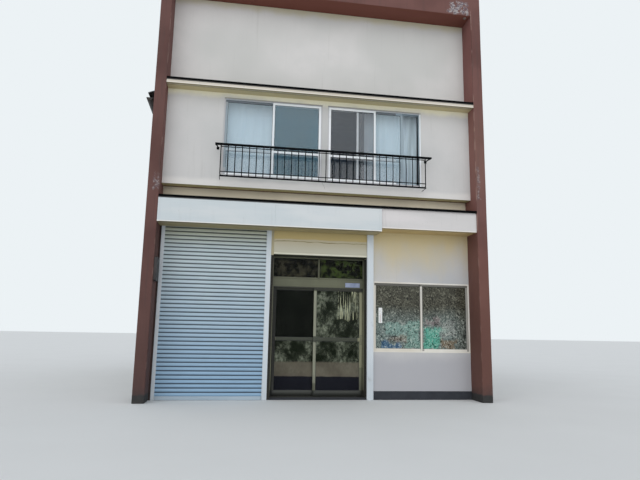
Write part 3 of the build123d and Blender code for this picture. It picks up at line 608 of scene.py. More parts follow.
# %% [markdown]
# ## Flashings
#
# A black folded sheet caps the window hood and the canopy. Its lip drops over the face below and
# ends in a small rolled hem. A flat sheet with a thickness would end in a square edge there, so
# the whole fold is drawn as one section. The sheets came in lengths, so a lap stands proud where
# one ends and the next begins.

# %% Black flashings
SHEET_LENGTH, LAP, LAP_PROUD = 1.82, 0.03, 0.0015


def black_paint():
    """Dull black, with pale dust lying on the sheet's top behind its lip."""
    f = Finish("black_flashing", Roughness=0.8, Specular_IOR_Level=0.05)
    f.colour = f.blend(f.cloud(0.35, 0.7, 3, 5, (1, 1, 4)), (3, 4, 5), (14, 15, 17))
    dust = f.part(f.between(f.faces_up, 0.5, 0.9), f.cloud(0.1, 0.6, 7, 5),
                  f.between(f.y, FRONT + 0.03, FRONT + 0.09))
    f.coat(dust, (176, 172, 160), 0.95)
    return f.done((f.noise(5, 3, (1, 1, 3)), 0.002))


def flashing(low, high):
    """Section of lip, rolled hem and sloping top, run along x; a slightly larger one makes each lap."""
    def section(proud):
        """The folded outline, standing proud of the plain sheet."""
        face = low.y + 0.0035 - proud
        hem = [(face - 0.002 * math.sin(turn), low.z + 0.006 - 0.006 * math.cos(turn))
               for turn in np.linspace(0.2, math.pi, 7)]
        top = [(face, low.z + 0.90 * (high.z - low.z)), (face + 0.004, high.z - 0.003 + proud)]
        return [(high.y, low.z), (face + 0.012, low.z)] + hem + top + [(high.y, high.z - 0.0015 + proud)]

    starts = np.arange(low.x + SHEET_LENGTH, high.x, SHEET_LENGTH)
    sheets = [run(section(0), 0, (low.x, high.x))]
    return joined(sheets + [run(section(LAP_PROUD), 0, (x, x + LAP)) for x in starts])


BLACK = black_paint()
for part_name in ("hood", "canopy"):
    node = f"{part_name}_flashing"
    piece(f"{part_name}_capping", flashing(*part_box(node)), BLACK, (node,))

# %% [markdown]
# ## Folded metal boxing
#
# The hood's edge, the shutter box and the canopy are pale painted sheet. The shutter box is the
# newer and bluer one: it stands further out, hangs lower, and has a fold near its top edge and
# three cover strips. The older boxing is creamier. Rain leaves short dark runs on both. Boxes with
# a bevel would lose the folds and hems, which are a few millimetres, so these are sections too.

# %% Hood, shutter box and canopy
BOXING = 0.02
WORN_EDGE = 0.008
GROOVE_Y, GROOVE_DEPTH, GROOVE_WIDTH = 0.045, 0.008, 0.012


def sheet_paint(name, tone, dim, under, grime=0.25, foot=None, top=None):
    """Enamel on folded sheet: almost even, with faint level bands and runs from the top edge. What
    faces down takes the under colour, as painted shade. The hem at the height foot has a painted
    highlight, with the underside darker just behind it; under the flashing's lip at the height top
    a black band is painted shadow."""
    f = Finish(name, Roughness=0.5)
    f.colour = f.blend(f.cloud(0.35, 0.7, 0.9, 3, (1, 1, 5)), dim, tone)
    f.coat(f.cloud(0.58, 0.76, 3.2, 6, (6, 1, 0.4), 0.6), (140, 142, 138), grime)
    f.coat(f.cloud(0.68, 0.76, 60, 4), (130, 120, 104), 0.3)
    if foot is not None:
        # Painted highlight on the hem, and a darker underside just behind it.
        f.coat(f.between(f.z, foot + 0.020, foot + 0.014), f.blend(0.6, tone, (255, 250, 240)), 0.8)
        under = f.blend(f.part(f.between(f.y, FRONT + 0.11, FRONT + 0.07), 0.45), under, (60, 52, 36))
    # Painted shade: what faces down takes the under colour.
    f.coat(f.between(f.faces_up, -0.5, -0.9), under)
    if top is not None:
        # Painted shadow under the flashing's lip.
        f.coat(f.between(f.wavy(0.006, 20, 4), top - 0.016, top - 0.011), (12, 12, 14), 0.9)
    return f.done((f.noise(2.0, 2, (1, 1, 3)), 0.003), (f.noise(240, 2), 0.0003))


def hood_edge(low, high):
    """The hood: a face with a worn lower corner, and a drip groove along its underside."""
    worn = [(low.y + WORN_EDGE * (1 - math.sin(turn)), low.z + WORN_EDGE * (1 - math.cos(turn)))
            for turn in np.linspace(math.pi / 2, 0, 6)]
    near, far, deep = low.y + GROOVE_Y, low.y + GROOVE_Y + GROOVE_WIDTH, low.z + GROOVE_DEPTH
    groove = [(near, low.z), (near, deep), (far, deep), (far, low.z)]
    outline = [(low.y, high.z)] + worn + groove + [(high.y, low.z), (high.y, high.z)]
    return run(outline, 0, (low.x, high.x))


def fascia(low, high, fold):
    """Folded sheet: a face with a shallow step at fold below its top, a hemmed foot, and a soffit
    behind."""
    face, step = low.y, high.z - fold
    inside, soffit = face + BOXING, low.z + BOXING
    outline = [(face + 0.003, high.z), (face + 0.003, step), (face + 0.0005, step - 0.004),
               (face + 0.0005, low.z + 0.016), (face, low.z + 0.012), (face, low.z + 0.003),
               (face + 0.004, low.z), (high.y, low.z), (high.y, soffit), (inside, soffit),
               (inside, high.z)]
    return run(outline, 0, (low.x, high.x))


# The third colour of each boxing is its underside in painted shade.
low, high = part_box("window_hood")
paint_coat = sheet_paint("cream_boxing_paint", (216, 207, 193), (202, 192, 176), (198, 184, 142),
                         0.4, low.z, high.z)
piece("hood_boxing", hood_edge(low, high), paint_coat, ("window_hood",))
low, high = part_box("shutter_box")
paint_coat = sheet_paint("shutter_box_paint", (211, 215, 216), (200, 208, 211), (168, 154, 114),
                         0.08, low.z, high.z)
near, far, foot = low.y - 0.0015, low.y + 0.004, low.z - 0.001
strip = [(near, foot), (far, foot), (far, high.z), (near, high.z)]
cover = [run(strip, 0, (x, x + width))
         for x, width in ((low.x, 0.03), (low.x + 1.83, 0.012), (high.x - 0.042, 0.042))]
piece("shutter_casing", joined([fascia(low, high, 0.055)] + cover), paint_coat,
      ("shutter_box",))
low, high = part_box("canopy")
paint_coat = sheet_paint("canopy_paint", (219, 214, 213), (209, 206, 204), (200, 176, 124), foot=low.z)
piece("canopy_casing", fascia(low, high, 0.012), paint_coat, ("canopy",))

# %% [markdown]
# ## The roller shutter
#
# Forty steel slats hook into one another. They could be forty meshes, but their hooks never show:
# each is a pale, slightly rounded face over a dark hollow. So the shutter is one thin shell whose
# front follows a slat profile that repeats up the height. The colour darkens by depth: dirt settles
# in the hollows, and the dark there is also painted shade.

# %% Roller shutter
SLAT, FACE_DEPTH, FOOT_TOP = 0.065, 0.012, 0.06
# Slat profile from foot to head: height as a share of a slat, depth as a share of the deepest hollow.
PROFILE = ((0.00, 0.95), (0.05, 0.55), (0.12, 0.2), (0.25, 0.03), (0.40, 0.0), (0.55, 0.08),
           (0.64, 0.22), (0.70, 0.62), (0.78, 0.95), (0.90, 1.0))


def slats(x0, x1, z0, z1, front):
    """A shell whose depth at a height is the slat profile, repeated up the shutter."""
    share, hollow = np.array(PROFILE).T
    count = round((z1 - z0) / SLAT)
    height = (np.arange(count)[:, None] + share).ravel() * (z1 - z0) / count + z0
    depth = front + 0.78 * FACE_DEPTH * np.tile(hollow, count)
    sides = np.array([x0, x0 + 0.002, x1 - 0.002, x1])
    face = np.empty((len(height), len(sides), 3))
    face[..., 0], face[..., 1], face[..., 2] = sides, depth[:, None], height[:, None]
    back = face.copy()
    back[..., 1] = front + FACE_DEPTH
    return shell(face, back)


def shutter_paint(front):
    """Blue-grey enamel: greener and duller at the top, bluer below, and dark in the hollows with dirt
    and painted shade.
    """
    f = Finish("shutter_enamel", Roughness=0.5)
    rise = f.between(f.wavy(0.6, 1.2, 3), 0.3, 2.9)
    f.colour = f.blend(rise, (144, 178, 206), (192, 206, 210))
    f.coat(f.between(f.z, 2.35, 2.75), (186, 190, 170))
    f.coat(f.cloud(0.4, 0.7, 2.4, 5, (1, 1, 6)), (128, 150, 164), 0.18)
    # Dirt and painted shade in the hollows.
    hollow = f.between(f.y, front + 0.0050, front + 0.0085)
    f.coat(hollow, f.blend(rise, (16, 32, 50), (26, 34, 38)), 0.9)
    return f.done((f.noise(160, 3), 0.0003))


low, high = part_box("roller_shutter")
slat_front = low.y + 0.008
piece("shutter_slats", slats(low.x, high.x, FOOT_TOP, high.z, slat_front), shutter_paint(slat_front),
      ("roller_shutter",))
foot = run(round_corners(low.y, high.y, low.z, FOOT_TOP, 0.004), 0, (low.x + 0.03, high.x - 0.03))
lip = run(round_corners(low.y + 0.002, slat_front, 0.028, 0.036, 0.002), 0,
          (low.x + 0.031, high.x - 0.031))
foot_paint = sheet_paint("shutter_foot_paint", (176, 190, 200), (160, 176, 188), (110, 118, 124))
piece("shutter_foot", joined([foot, lip]), foot_paint, edge=0.001)

# %% [markdown]
# ## Posts
#
# Three anodised posts carry the shutter and mark off the bays. Plain bars would do from afar, but
# the thin dark lines down their faces show. The real ones are extrusions, so each is one section
# with shallow grooves in its face, run from the ground to the box. A wooden packing strip fills
# the gap between the left one and the fin.

# %% Posts
GROOVE, PACKING = 0.003, 0.030
# The slot that takes the shutter's edge: how deep from the post's side, and y from the post's face.
SLOT = ((0.0, 0.0187), (0.03, 0.0187), (0.03, 0.0313), (0.0, 0.0313))


def pale_metal(name, tone, dim, rough=0.35):
    """The start of a recipe for anodised aluminium: two near tones in clouds that are long upwards."""
    f = Finish(name, Roughness=rough)
    f.colour = f.blend(f.cloud(0.35, 0.68, 1.5, 4, (1, 1, 0.4)), dim, tone)
    return f


def brushed(f, grime=0.25):
    """The end of that recipe: a share of grime, and fine brushing along the bars."""
    if grime:
        f.coat(f.cloud(0.6, 0.75, 5, 6, EVEN, 0.65), (128, 128, 122), grime)
    return f.done((f.noise(400, 2, (1, 1, 0.02)), 0.0002))


def rough_wood(name, tone, dim):
    """Stained softwood: two tones through noise that is stretched from front to back as grain."""
    f = Finish(name, Roughness=0.75)
    f.colour = f.blend(f.cloud(0.35, 0.7, 9, 6, (4, 0.6, 4), 0.6), tone, dim)
    return f.done((f.noise(30, 4, (4, 0.5, 4)), 0.001))


def grooved_post(low, high, grooves, slot_side):
    """Rectangle with shallow grooves (place, width) in its front, and a slot in one side or none."""
    front = [(low.x, low.y)]
    for place, width in grooves:
        x0, x1 = low.x + place, low.x + place + width
        front += [(x0, low.y), (x0, low.y + GROOVE), (x1, low.y + GROOVE), (x1, low.y)]
    ahead, behind = [(high.x, low.y), (high.x, high.y)], [(low.x, high.y)]
    if slot_side > 0:
        ahead[1:1] = [(high.x - deep, low.y + y) for deep, y in SLOT]
    if slot_side < 0:
        behind += [(low.x + deep, low.y + y) for deep, y in SLOT[::-1]]
    return run(front + ahead + behind, 2, (low.z, high.z))


POST = brushed(pale_metal("post_aluminium", (215, 222, 227), (200, 208, 214), 0.38))
for name, node, grooves, slot_side in (
        ("left_shutter_post", "left_post", ((0.010, 0.005),), 1),
        ("middle_shutter_post", "middle_post", ((0.012, 0.004), (0.052, 0.006)), -1),
        ("right_bay_post", "right_post", ((0.058, 0.007), (0.092, 0.004)), 0)):
    low, high = (corner.copy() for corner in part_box(node))
    if node == "left_post":
        packing = bar(low.x, low.x + PACKING, low.y + 0.012, high.y, low.z, high.z)
        piece("post_packing", packing, rough_wood("packing_paint", (66, 47, 44), (48, 36, 34)),
              edge=0.001)
        low.x += PACKING
    piece(name, grooved_post(low, high, grooves, slot_side), POST, (node,))

# %% [markdown]
# ## The tiled roof
#
# Each slope is laid with wavy clay tiles: a roll at one side laps over the dish of the next tile,
# and each course lies on the course below. An array of one tile would repeat exactly, and the eye
# finds that at once. So a tile is a thin shell whose height is a bump for the roll plus a shallow
# bowl for the dish, and each is laid with its own small tilt, slip and tone.

# %% Roof tiles
roof_low, roof_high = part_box("roof_left")
SLOPE = 0.5
COSINE, SINE = 1 / math.hypot(1, SLOPE), SLOPE / math.hypot(1, SLOPE)
SLOPE_LENGTH = -roof_low.x / COSINE
TILE_COURSES, TILE_COLUMNS = 14, 29
TILE_THICKNESS, TILE_NOSE, TILE_RIDE = 0.013, 0.070, 0.022
TILE_TAIL, TILE_SIDE = 1.12, 0.985
chance = np.random.default_rng(7)


def on_slope(side, down, back, rise):
    """A place on a slope: distance down from the ridge, y, and height square to the tiles."""
    out = down * COSINE + rise * SINE
    return np.stack([side * out, back + 0 * out, roof_high.z - down * SINE + rise * COSINE], -1)


def tile_field(side):
    """All tiles of a slope: across each, roll exp(-((u-0.13)/0.09)^2) plus bowl ((u-0.6)/0.4)^2; along
    each, the tail rides up on the course below by more than a tile's thickness."""
    course = (SLOPE_LENGTH + TILE_NOSE - 0.02) / TILE_COURSES
    column = (roof_high.y - roof_low.y) / TILE_COLUMNS
    across = np.array([[0, 0.06, 0.13, 0.2, 0.28, 0.42, 0.6, 0.78, 0.92, 1.03]])
    along = np.array([[0], [0.04], [0.5], [TILE_TAIL]])
    wave = 0.026 * np.exp(-((across - 0.13) / 0.09) ** 2) + 0.012 * ((across - 0.6) / 0.4) ** 2
    ride = TILE_RIDE * (1 - along / TILE_TAIL) - 0.006 * (along < 0.02) - 0.012
    solids, tones = [], []
    for row in range(TILE_COURSES):
        for number in range(TILE_COLUMNS):
            slip, tilt, lift = chance.normal(0, 1, 3) * (0.0015, 0.0012, 0.0008)
            down = SLOPE_LENGTH + TILE_NOSE + slip - (row + along) * course + 0 * across
            back = roof_low.y + (number + across * TILE_SIDE) * column + 0 * along
            rise = wave + tilt * across + lift + ride
            top, bottom = (on_slope(side, down, np.minimum(back, roof_high.y), rise - drop)
                           for drop in (0, TILE_THICKNESS))
            solids.append(shell(top, bottom))
            tones += [chance.random()] * (2 * rise.size)
    return joined(solids), np.array(tones, np.float32)


def toned(thing, tones):
    """Stores one tone for each point, for the material to read."""
    thing.data.attributes.new("tone", "FLOAT", "POINT").data.foreach_set("value", tones)


def smoked_clay():
    """Smoked clay: blue-grey, each tile in its own tone, with brown clouds and pale lichen spots, and
    black underneath as painted shade."""
    f = Finish("smoked_clay", Roughness=0.55)
    tone = f.node("Attribute", {}, attribute_name="tone").outputs["Fac"]
    f.colour = f.blend(tone, (66, 70, 76), (98, 101, 106))
    f.coat(f.cloud(0.45, 0.7, 2.2, 5), (84, 82, 76), 0.4)
    f.coat(f.cloud(0.62, 0.68, 17, 6, EVEN, 0.7), (138, 140, 120), 0.5)
    # Painted shade: what faces down is nearly black.
    f.coat(f.between(f.faces_up, -0.2, -0.6), (22, 21, 20))
    return f.done((f.noise(60, 4), 0.001))


CLAY = smoked_clay()
for side, word in ((-1, "left"), (1, "right")):
    field, tones = tile_field(side)
    print(f"{word} tiles reach x {abs(field[0][:, 0]).max():.3f} m")
    toned(piece(f"{word}_tile_field", field, CLAY), tones)

# %% [markdown]
# ## Under the tiles
#
# A deck of boards lies on rafters, which show from below at the eaves. A board closes the eave
# edge, and another follows the slope at the rear. One slab could stand for all of it, but the
# gaps between the rafters are what the eye looks for under an eave.

# %% Deck, rafters and boards
RAFTER_WIDTH, RAFTER_PITCH, RAFTER_FOOT, DECK_FOOT = 0.045, 0.4545, -0.107, -0.045
VERGE_BOARD = 0.03
EAVE_REACH = SLOPE_LENGTH - 0.012


def slope_bar(side, down, back, rise):
    """A straight bar that lies with the slope: a rectangle in depth and height carried down it."""
    corner_rise = np.array([rise[0], rise[1], rise[1], rise[0]])
    corner_back = np.array([back[0], back[0], back[1], back[1]])
    rings = [on_slope(side, stop + 0 * corner_rise, corner_back, corner_rise) for stop in down]
    return loft(np.stack(rings))


WOOD = rough_wood("stained_wood", (66, 53, 44), (46, 37, 30))
reach_y = (roof_low.y, roof_high.y - VERGE_BOARD)
for side, word in ((-1, "left"), (1, "right")):
    timbers = [slope_bar(side, (0.0, EAVE_REACH - 0.02), reach_y, (DECK_FOOT, -0.026))]
    for y in np.arange(roof_low.y + 0.05, roof_high.y - 0.1, RAFTER_PITCH):
        timbers.append(slope_bar(side, (0.05, EAVE_REACH - 0.03), (y, y + RAFTER_WIDTH),
                                 (RAFTER_FOOT, DECK_FOOT - 0.001)))
    timbers.append(slope_bar(side, (EAVE_REACH - 0.025, EAVE_REACH), reach_y, (RAFTER_FOOT, -0.022)))
    timbers.append(slope_bar(side, (0.0, EAVE_REACH), (reach_y[1], roof_high.y - 0.002),
                             (RAFTER_FOOT, -0.02)))
    piece(f"{word}_roof_timber", joined(timbers), WOOD, (f"roof_{word}",), edge=0.002)

# %% [markdown]
# ## The ridge
#
# Two courses of flat tiles carry a row of half-round ones, each lapping the next. One long half
# pipe would be simpler, but the laps are what makes a ridge look tiled.

# %% Ridge
ridge_low, ridge_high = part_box("ridge_cap")
CAP_RADIUS, CAP_PITCH, FLAT_PITCH, FLAT_GAP = 0.085, 0.27, 0.3, 0.004


def ridge_tiles():
    """Flat courses as slabs, then half rings: radius times (cosine, sine), a little larger at the end
    that laps the next."""
    solids = []
    top = ridge_high.z - CAP_RADIUS
    for start, half, foot in ((0, 0.15, top - 0.075), (0.11, 0.125, top - 0.035)):
        slab = [(-half, foot), (half, foot), (half, foot + 0.03), (0.06, foot + 0.052),
                (-0.06, foot + 0.052), (-half, foot + 0.03)]
        for y in np.arange(ridge_low.y + start, ridge_high.y, FLAT_PITCH):
            solids.append(run(slab, 1, (y, min(y + FLAT_PITCH - FLAT_GAP, ridge_high.y))))
    turn = np.linspace(-0.15, math.pi + 0.15, 15)
    swell = np.array([0.004, 0.0, -0.010, -0.012])
    for y in np.arange(ridge_low.y, ridge_high.y - 0.2, CAP_PITCH):
        far = min(y + CAP_PITCH + 0.03, ridge_high.y)
        stops = np.array([[y], [y + 0.02], [far - 0.02], [far]]) + 0 * turn
        sizes = [(CAP_RADIUS - 0.006 + swell - thickness)[:, None] for thickness in (0, 0.014)]
        solids.append(shell(*(np.stack([size * np.cos(turn), stops, top + size * np.sin(turn)], -1)
                              for size in sizes)))
    return joined(solids)


ridge_solid = ridge_tiles()
toned(piece("ridge_tiles", ridge_solid, CLAY, ("ridge_cap",)),
      np.full(len(ridge_solid[0]), 0.4, np.float32))

# %% [markdown]
# ## Window frames
#
# A window frame is one section carried round a rectangle, with mitred corners. Four bars would
# overlap at the corners or leave a seam. The section is written as (how far in from the outer
# edge, as a share of the side's width; depth), so that the four sides may differ in width and
# still meet in one mitre.

# %% Frames, sashes and gaskets
STILE, FRAME_WIDTH = 0.036, 0.024
SASH_DEPTH, TRACK_PITCH = 0.026, 0.030
RUBBER_WIDTH = 0.004
# Half of a sash's section: how far in, and how far from the face to the middle of the sash.
STEPS = ((0, 0.13), (0.05, 0.0), (0.66, 0.0), (0.72, 0.22), (0.93, 0.30), (1, 0.62))


def picture_frame(x0, x1, z0, z1, widths, section):
    """A section carried round four mitred corners; widths are one number, or those of the left, the
    right, the foot and the head."""
    share, depth = np.array(section, float).T
    left, right_side, foot, head = np.broadcast_to(widths, 4)
    near, far = x0 + left * share, x1 - right_side * share
    low, high = z0 + foot * share, z1 - head * share
    corners = ((near, low), (far, low), (far, high), (near, high))
    return loft(np.stack([np.stack([x, depth, z], -1) for x, z in corners]), closed=True)


def fixed_frame(x0, x1, z0, z1, y, depth):
    """Outer frame: a flat face with a lip before the sashes and a lower back."""
    section = [(0, y), (0.72, y), (0.78, y + 0.003), (1, y + 0.003), (1, y + depth), (0, y + depth)]
    return picture_frame(x0, x1, z0, z1, FRAME_WIDTH, section)


def sash_frame(x0, x1, z0, z1, y0, y1, widths):
    """Sash: a flat face, then two small steps down to the glass on both sides."""
    half = (y1 - y0) / 2
    section = [(share, y0 + fall * half) for share, fall in STEPS]
    section += [(share, y1 - fall * half) for share, fall in STEPS[::-1]]
    return picture_frame(x0, x1, z0, z1, widths, section)


def gasket(x0, x1, z0, z1, y0, y1):
    """Dark rubber strip round a pane."""
    section = [(0, y0), (0.7, y0), (1, y0 + 0.002), (1, y1 - 0.002), (0.7, y1), (0, y1)]
    return picture_frame(x0, x1, z0, z1, RUBBER_WIDTH, section)


def window(x0, x1, z0, z1, y, outer_side="right", slid=0.0, rail=None):
    """Metal and rubber of one sliding window: the outer sash is on one side, the inner one on the other
    and slid by a distance. A rail (foot, head) divides each sash into two panes."""
    metal, rubber = [fixed_frame(x0, x1, z0, z1, y, 0.09)], []
    low, high, middle = z0 + FRAME_WIDTH, z1 - FRAME_WIDTH, (x0 + x1) / 2
    spans = {"left": (x0 + FRAME_WIDTH, middle + STILE / 2),
             "right": (middle - STILE / 2, x1 - FRAME_WIDTH)}
    inner_side = "left" if outer_side == "right" else "right"
    outer_y = y + 0.004
    for side, front, shift in ((outer_side, outer_y, 0), (inner_side, outer_y + TRACK_PITCH, -slid)):
        a, b = (edge + shift for edge in spans[side])
        back, inside = front + SASH_DEPTH, (a + STILE, b - STILE)
        metal.append(sash_frame(a, b, low, high, front, back, STILE))
        panes = [(low + STILE, high - STILE)]
        if rail:
            foot, head = rail
            panes = [(low + STILE, foot), (head, high - STILE)]
            near, far, lower, upper = front + 0.003, back - 0.003, foot + 0.006, head - 0.006
            shape = [(near, foot), (front, lower), (front, upper), (near, head),
                     (far, head), (back, upper), (back, lower), (far, foot)]
            metal.append(run(shape, 0, inside))
        rubber += [gasket(*inside, *pane, front + 0.008, front + 0.018) for pane in panes]
    grip = middle - slid + (0.004 if inner_side == "right" else -0.016)
    metal.append(bar(grip, grip + 0.012, back, back + 0.008, low + 0.45, low + 0.60))
    return metal, rubber


def window_rubber():
    """Dark grey rubber with a cloudy bloom."""
    f = Finish("window_rubber", Roughness=0.7)
    f.colour = f.blend(f.noise(60), (44, 45, 46), (66, 67, 68))
    return f.done()


RUBBER = window_rubber()
print("a sash section has", 2 * len(STEPS), "points")

# %% [markdown]
# The same window is set into the upper floor, the ground floor and the rear wall. The photograph
# gives each front window its own shades, because the wall's head and jambs keep the sky from it.

# %% Windows
FOOT, HEAD = 3.610, 4.970
LEFT_WINDOW, RIGHT_WINDOW = (-1.707, -0.027), (0.067, 1.747)
UPPER_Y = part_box("upper_window_frames")[0].y
RAIL = (4.050, 4.088)
SLID = 0.3


def upper_metal():
    """White sashes in a duller fixed frame. Shade is painted grey: on the top rails of the inner
    sashes, which stand 30 mm further back, on the first stile, on the inner sashes' stiles and middle
    rails, on the inner sash in the open part, and on the frame's head."""
    f = pale_metal("upper_window_metal", (252, 253, 255), (238, 243, 246))
    fixed = f.part(f.under(f.y, UPPER_Y + 0.0036), f.under(f.x, RIGHT_WINDOW[1] - 0.03))
    f.coat(fixed, (184, 182, 184), 0.85)
    inner = f.over(f.y, UPPER_Y + 0.031)
    top = f.over(f.z, HEAD - FRAME_WIDTH - STILE)
    first = f.under(f.x, LEFT_WINDOW[0] + FRAME_WIDTH + STILE)
    f.coat(f.part(inner, f.sum("MAXIMUM", top, f.part(first, 0.6))), (104, 112, 118))
    # Painted shade on the inner sash where the right window stands open.
    f.coat(f.part(inner, f.over(f.x, 1.30)), (150, 166, 176), 0.9)
    # Painted shade on the inner sashes' stiles and middle rails.
    ends = f.sum("ADD", f.under(f.x, -0.88), f.over(f.x, 0.80))
    stiles = f.part(inner, f.between(f.z, 3.75, 3.76), f.between(f.z, 4.9, 4.8), ends)
    f.coat(stiles, (150, 168, 178), 0.75)
    # Painted shade on the frame's head.
    f.coat(f.over(f.z, HEAD - FRAME_WIDTH), (128, 128, 130), 0.5)
    return brushed(f, 0.15)


def ground_metal(x0, x1, z1, y):
    """Cream frame and sashes. The head shades the top rails of the sashes, the right jamb shades the
    stile beside it, and the meeting stile is bright on its left half only."""
    f = pale_metal("ground_window_metal", (224, 218, 206), (240, 237, 228))
    middle = (x0 + x1) / 2
    beside = f.part(f.over(f.x, middle), f.under(f.x, middle + STILE))
    stiles = f.sum("MAXIMUM", f.over(f.x, x1 - FRAME_WIDTH - STILE), beside)
    shade = f.sum("MAXIMUM", f.over(f.z, z1 - FRAME_WIDTH - STILE), f.part(stiles, 0.7))
    f.coat(f.part(f.over(f.y, y + 0.0034), shade), (84, 82, 74), 0.9)
    return brushed(f, None)


def window_pieces(word, windows, metal_finish, *replaced):
    """The metal and the gaskets of a set of windows, as two pieces."""
    metal, rubber = (sum(solids, []) for solids in zip(*windows))
    piece(f"{word}_window_metal", joined(metal), metal_finish, replaced, edge=0.0008)
    piece(f"{word}_window_gaskets", joined(rubber), RUBBER)


WHITE = brushed(pale_metal("white_anodised", (226, 233, 238), (206, 214, 220)))
upper_windows = [window(*LEFT_WINDOW, FOOT, HEAD, UPPER_Y, rail=RAIL),
                 window(*RIGHT_WINDOW, FOOT, HEAD, UPPER_Y, "left", SLID, RAIL)]
window_pieces("upper", upper_windows, upper_metal(), "upper_window_frames", "upper_window_sashes")
low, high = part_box("ground_window_frame")
window_pieces("ground", [window(low.x, high.x, low.z, high.z, low.y)],
              ground_metal(low.x, high.x, high.z, low.y), "ground_window_frame", "ground_window_sashes")
low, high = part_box("rear_window_frames")
storeys = ((low.z, low.z + 1.177), (high.z - 1.360, high.z))
window_pieces("rear", [window(x0, x1, z0, z1, low.y) for x0, x1 in ((-1.727, -0.047), (0.047, 1.727))
                       for z0, z1 in storeys], WHITE, "rear_window_frames")

# %% [markdown]
# ## The railing
#
# A light wrought-iron guard crosses both upper windows. The handrail is a channel with its edges
# turned down, and the bottom rail is a deeper flat. The round bars swell outward a little, and the
# two end bars bend under into the bottom rail. Arms run back from the handrail's ends and draw
# together a little before they meet the wall. Curves with a round bevel would do. A rod is instead
# a small ring of points carried along a path, always square to it, so that its ends are closed
# and it has no more sides than it needs.

# %% Rods and bends
def rod(path, radius, sides=8):
    """Round bar along a path: at each point, two directions square to the path carry a circle. The first
    starts as the axis along which the path moves least, made square to it."""
    path = np.asarray(path, float)
    ahead = np.gradient(path, axis=0)
    ahead /= np.linalg.norm(ahead, axis=1, keepdims=True)
    guess = np.eye(3)[abs(ahead).max(0).argmin()]
    first = guess - (ahead @ guess)[:, None] * ahead
    first /= np.linalg.norm(first, axis=1, keepdims=True)
    second = np.cross(ahead, first)
    turn = np.linspace(0, 2 * math.pi, sides, endpoint=False)[:, None]
    ring = np.cos(turn) * first[:, None] + np.sin(turn) * second[:, None]
    return loft(path[:, None] + radius * ring)


def bend(points, radius, steps=6):
    """A path with rounded corners: each corner is replaced by points of a quadratic curve that starts and
    ends a radius away along its two legs."""
    points = [np.array(point, float) for point in points]
    path = [points[0]]
    share = np.linspace(0, 1, steps)[:, None]
    for before, corner, after in zip(points, points[1:], points[2:]):
        start, stop = (corner + leg * min(0.5, radius / np.linalg.norm(leg))
                       for leg in (before - corner, after - corner))
        path += list((1 - share) ** 2 * start + 2 * share * (1 - share) * corner + share ** 2 * stop)
    return np.array(path + [points[-1]])


print("a square corner bends through", len(bend([(0, 0, 0), (1, 0, 0), (1, 1, 0)], 0.1)), "points")

# %% Railing
rail_low, rail_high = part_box("upper_railing")
wall_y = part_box("upper_front_wall")[0].y
RAIL_Y = (rail_low.y + rail_high.y) / 2
BAR_RADIUS, BAR_PITCH, BAR_COUNT, BELLY = 0.0078, 0.1154, 31, 0.012
HANDRAIL, LOW_RAIL, THIN_RAIL = 0.030, 0.025, 0.012
UNDER_HANDRAIL, THIN_RAIL_LIFT = 0.062, 0.078
bar_x = rail_low.x + 0.096 + BAR_PITCH * np.arange(BAR_COUNT)


def guard():
    """Channel handrail, bars with a belly (the sine of the height, squared), one long bar whose bent
    ends are the first and the last upright, and three rails."""
    lip, top, bottom = rail_high.z - HANDRAIL, rail_high.z - 0.006, rail_low.z + LOW_RAIL / 2
    half = rail_high.y - RAIL_Y
    edge = np.array([(half, lip), (half, rail_high.z - 0.003), (half - 0.004, rail_high.z)])
    under = np.array([(half - 0.005, rail_high.z - 0.005), (half - 0.003, lip)])
    channel = np.concatenate([edge * (-1, 1), edge[::-1], under[::-1], under * (-1, 1)]) + (RAIL_Y, 0)
    solids = [run(channel, 0, (rail_low.x, rail_high.x))]
    height = np.linspace(0, 1, 13)
    swell = RAIL_Y - BELLY * np.sin(math.pi * height) ** 2
    for x in bar_x[1:-1]:
        path = np.stack([x + 0 * height, swell, bottom + height * (top - bottom)], -1)
        solids.append(rod(path, BAR_RADIUS, 6))
    first, last = bar_x[0], bar_x[-1]
    ends = [(first, RAIL_Y, top), (first, RAIL_Y, bottom), (last, RAIL_Y, bottom), (last, RAIL_Y, top)]
    solids.append(rod(bend(ends, 0.04), BAR_RADIUS + 0.001))
    for foot, tall, reach in ((rail_high.z - UNDER_HANDRAIL, THIN_RAIL, 0),
                              (rail_low.z + THIN_RAIL_LIFT, THIN_RAIL, 0), (rail_low.z, LOW_RAIL, 0.006)):
        outline = round_corners(RAIL_Y - 0.009, RAIL_Y + 0.009, foot, foot + tall, 0.003, 3)
        solids.append(run(outline, 0, (first - reach, last + reach)))
    return solids


def guard_arms():
    """Round arms from both ends of the handrail with a square plate at the wall, and thin ones below."""
    solids = []
    high, low = rail_high.z - HANDRAIL + THIN_RAIL / 2, rail_low.z + THIN_RAIL / 2
    halfway, inside, plate = (RAIL_Y + wall_y) / 2, wall_y + 0.002, 0.022
    for x, way in ((rail_low.x + 0.008, 1), (rail_high.x - 0.008, -1)):
        at = x + way * 0.03
        path = bend([(x, RAIL_Y, high), (at, halfway, high), (at, inside, high)], 0.03)
        solids.append(rod(path, 0.010))
        outline = round_corners(at - plate, at + plate, high - plate, high + plate, 0.006)
        solids.append(run(outline, 1, (wall_y - 0.005, wall_y + 0.001)))
    for x in (bar_x[0] - 0.006, bar_x[-1] + 0.006):
        solids.append(rod([(x, RAIL_Y, low), (x, halfway, low), (x, inside, low)], 0.005))
    return solids


def iron_paint():
    """Black paint on iron: dull, with rust coming through in spots."""
    f = Finish("black_iron", Roughness=0.75, Specular_IOR_Level=0.08)
    f.colour = f.blend(f.noise(14, 4), (4, 6, 8), (14, 17, 20))
    f.coat(f.cloud(0.62, 0.70, 38, 6, EVEN, 0.7), (70, 44, 32), 0.45)
    return f.done((f.noise(120, 4), 0.0006))


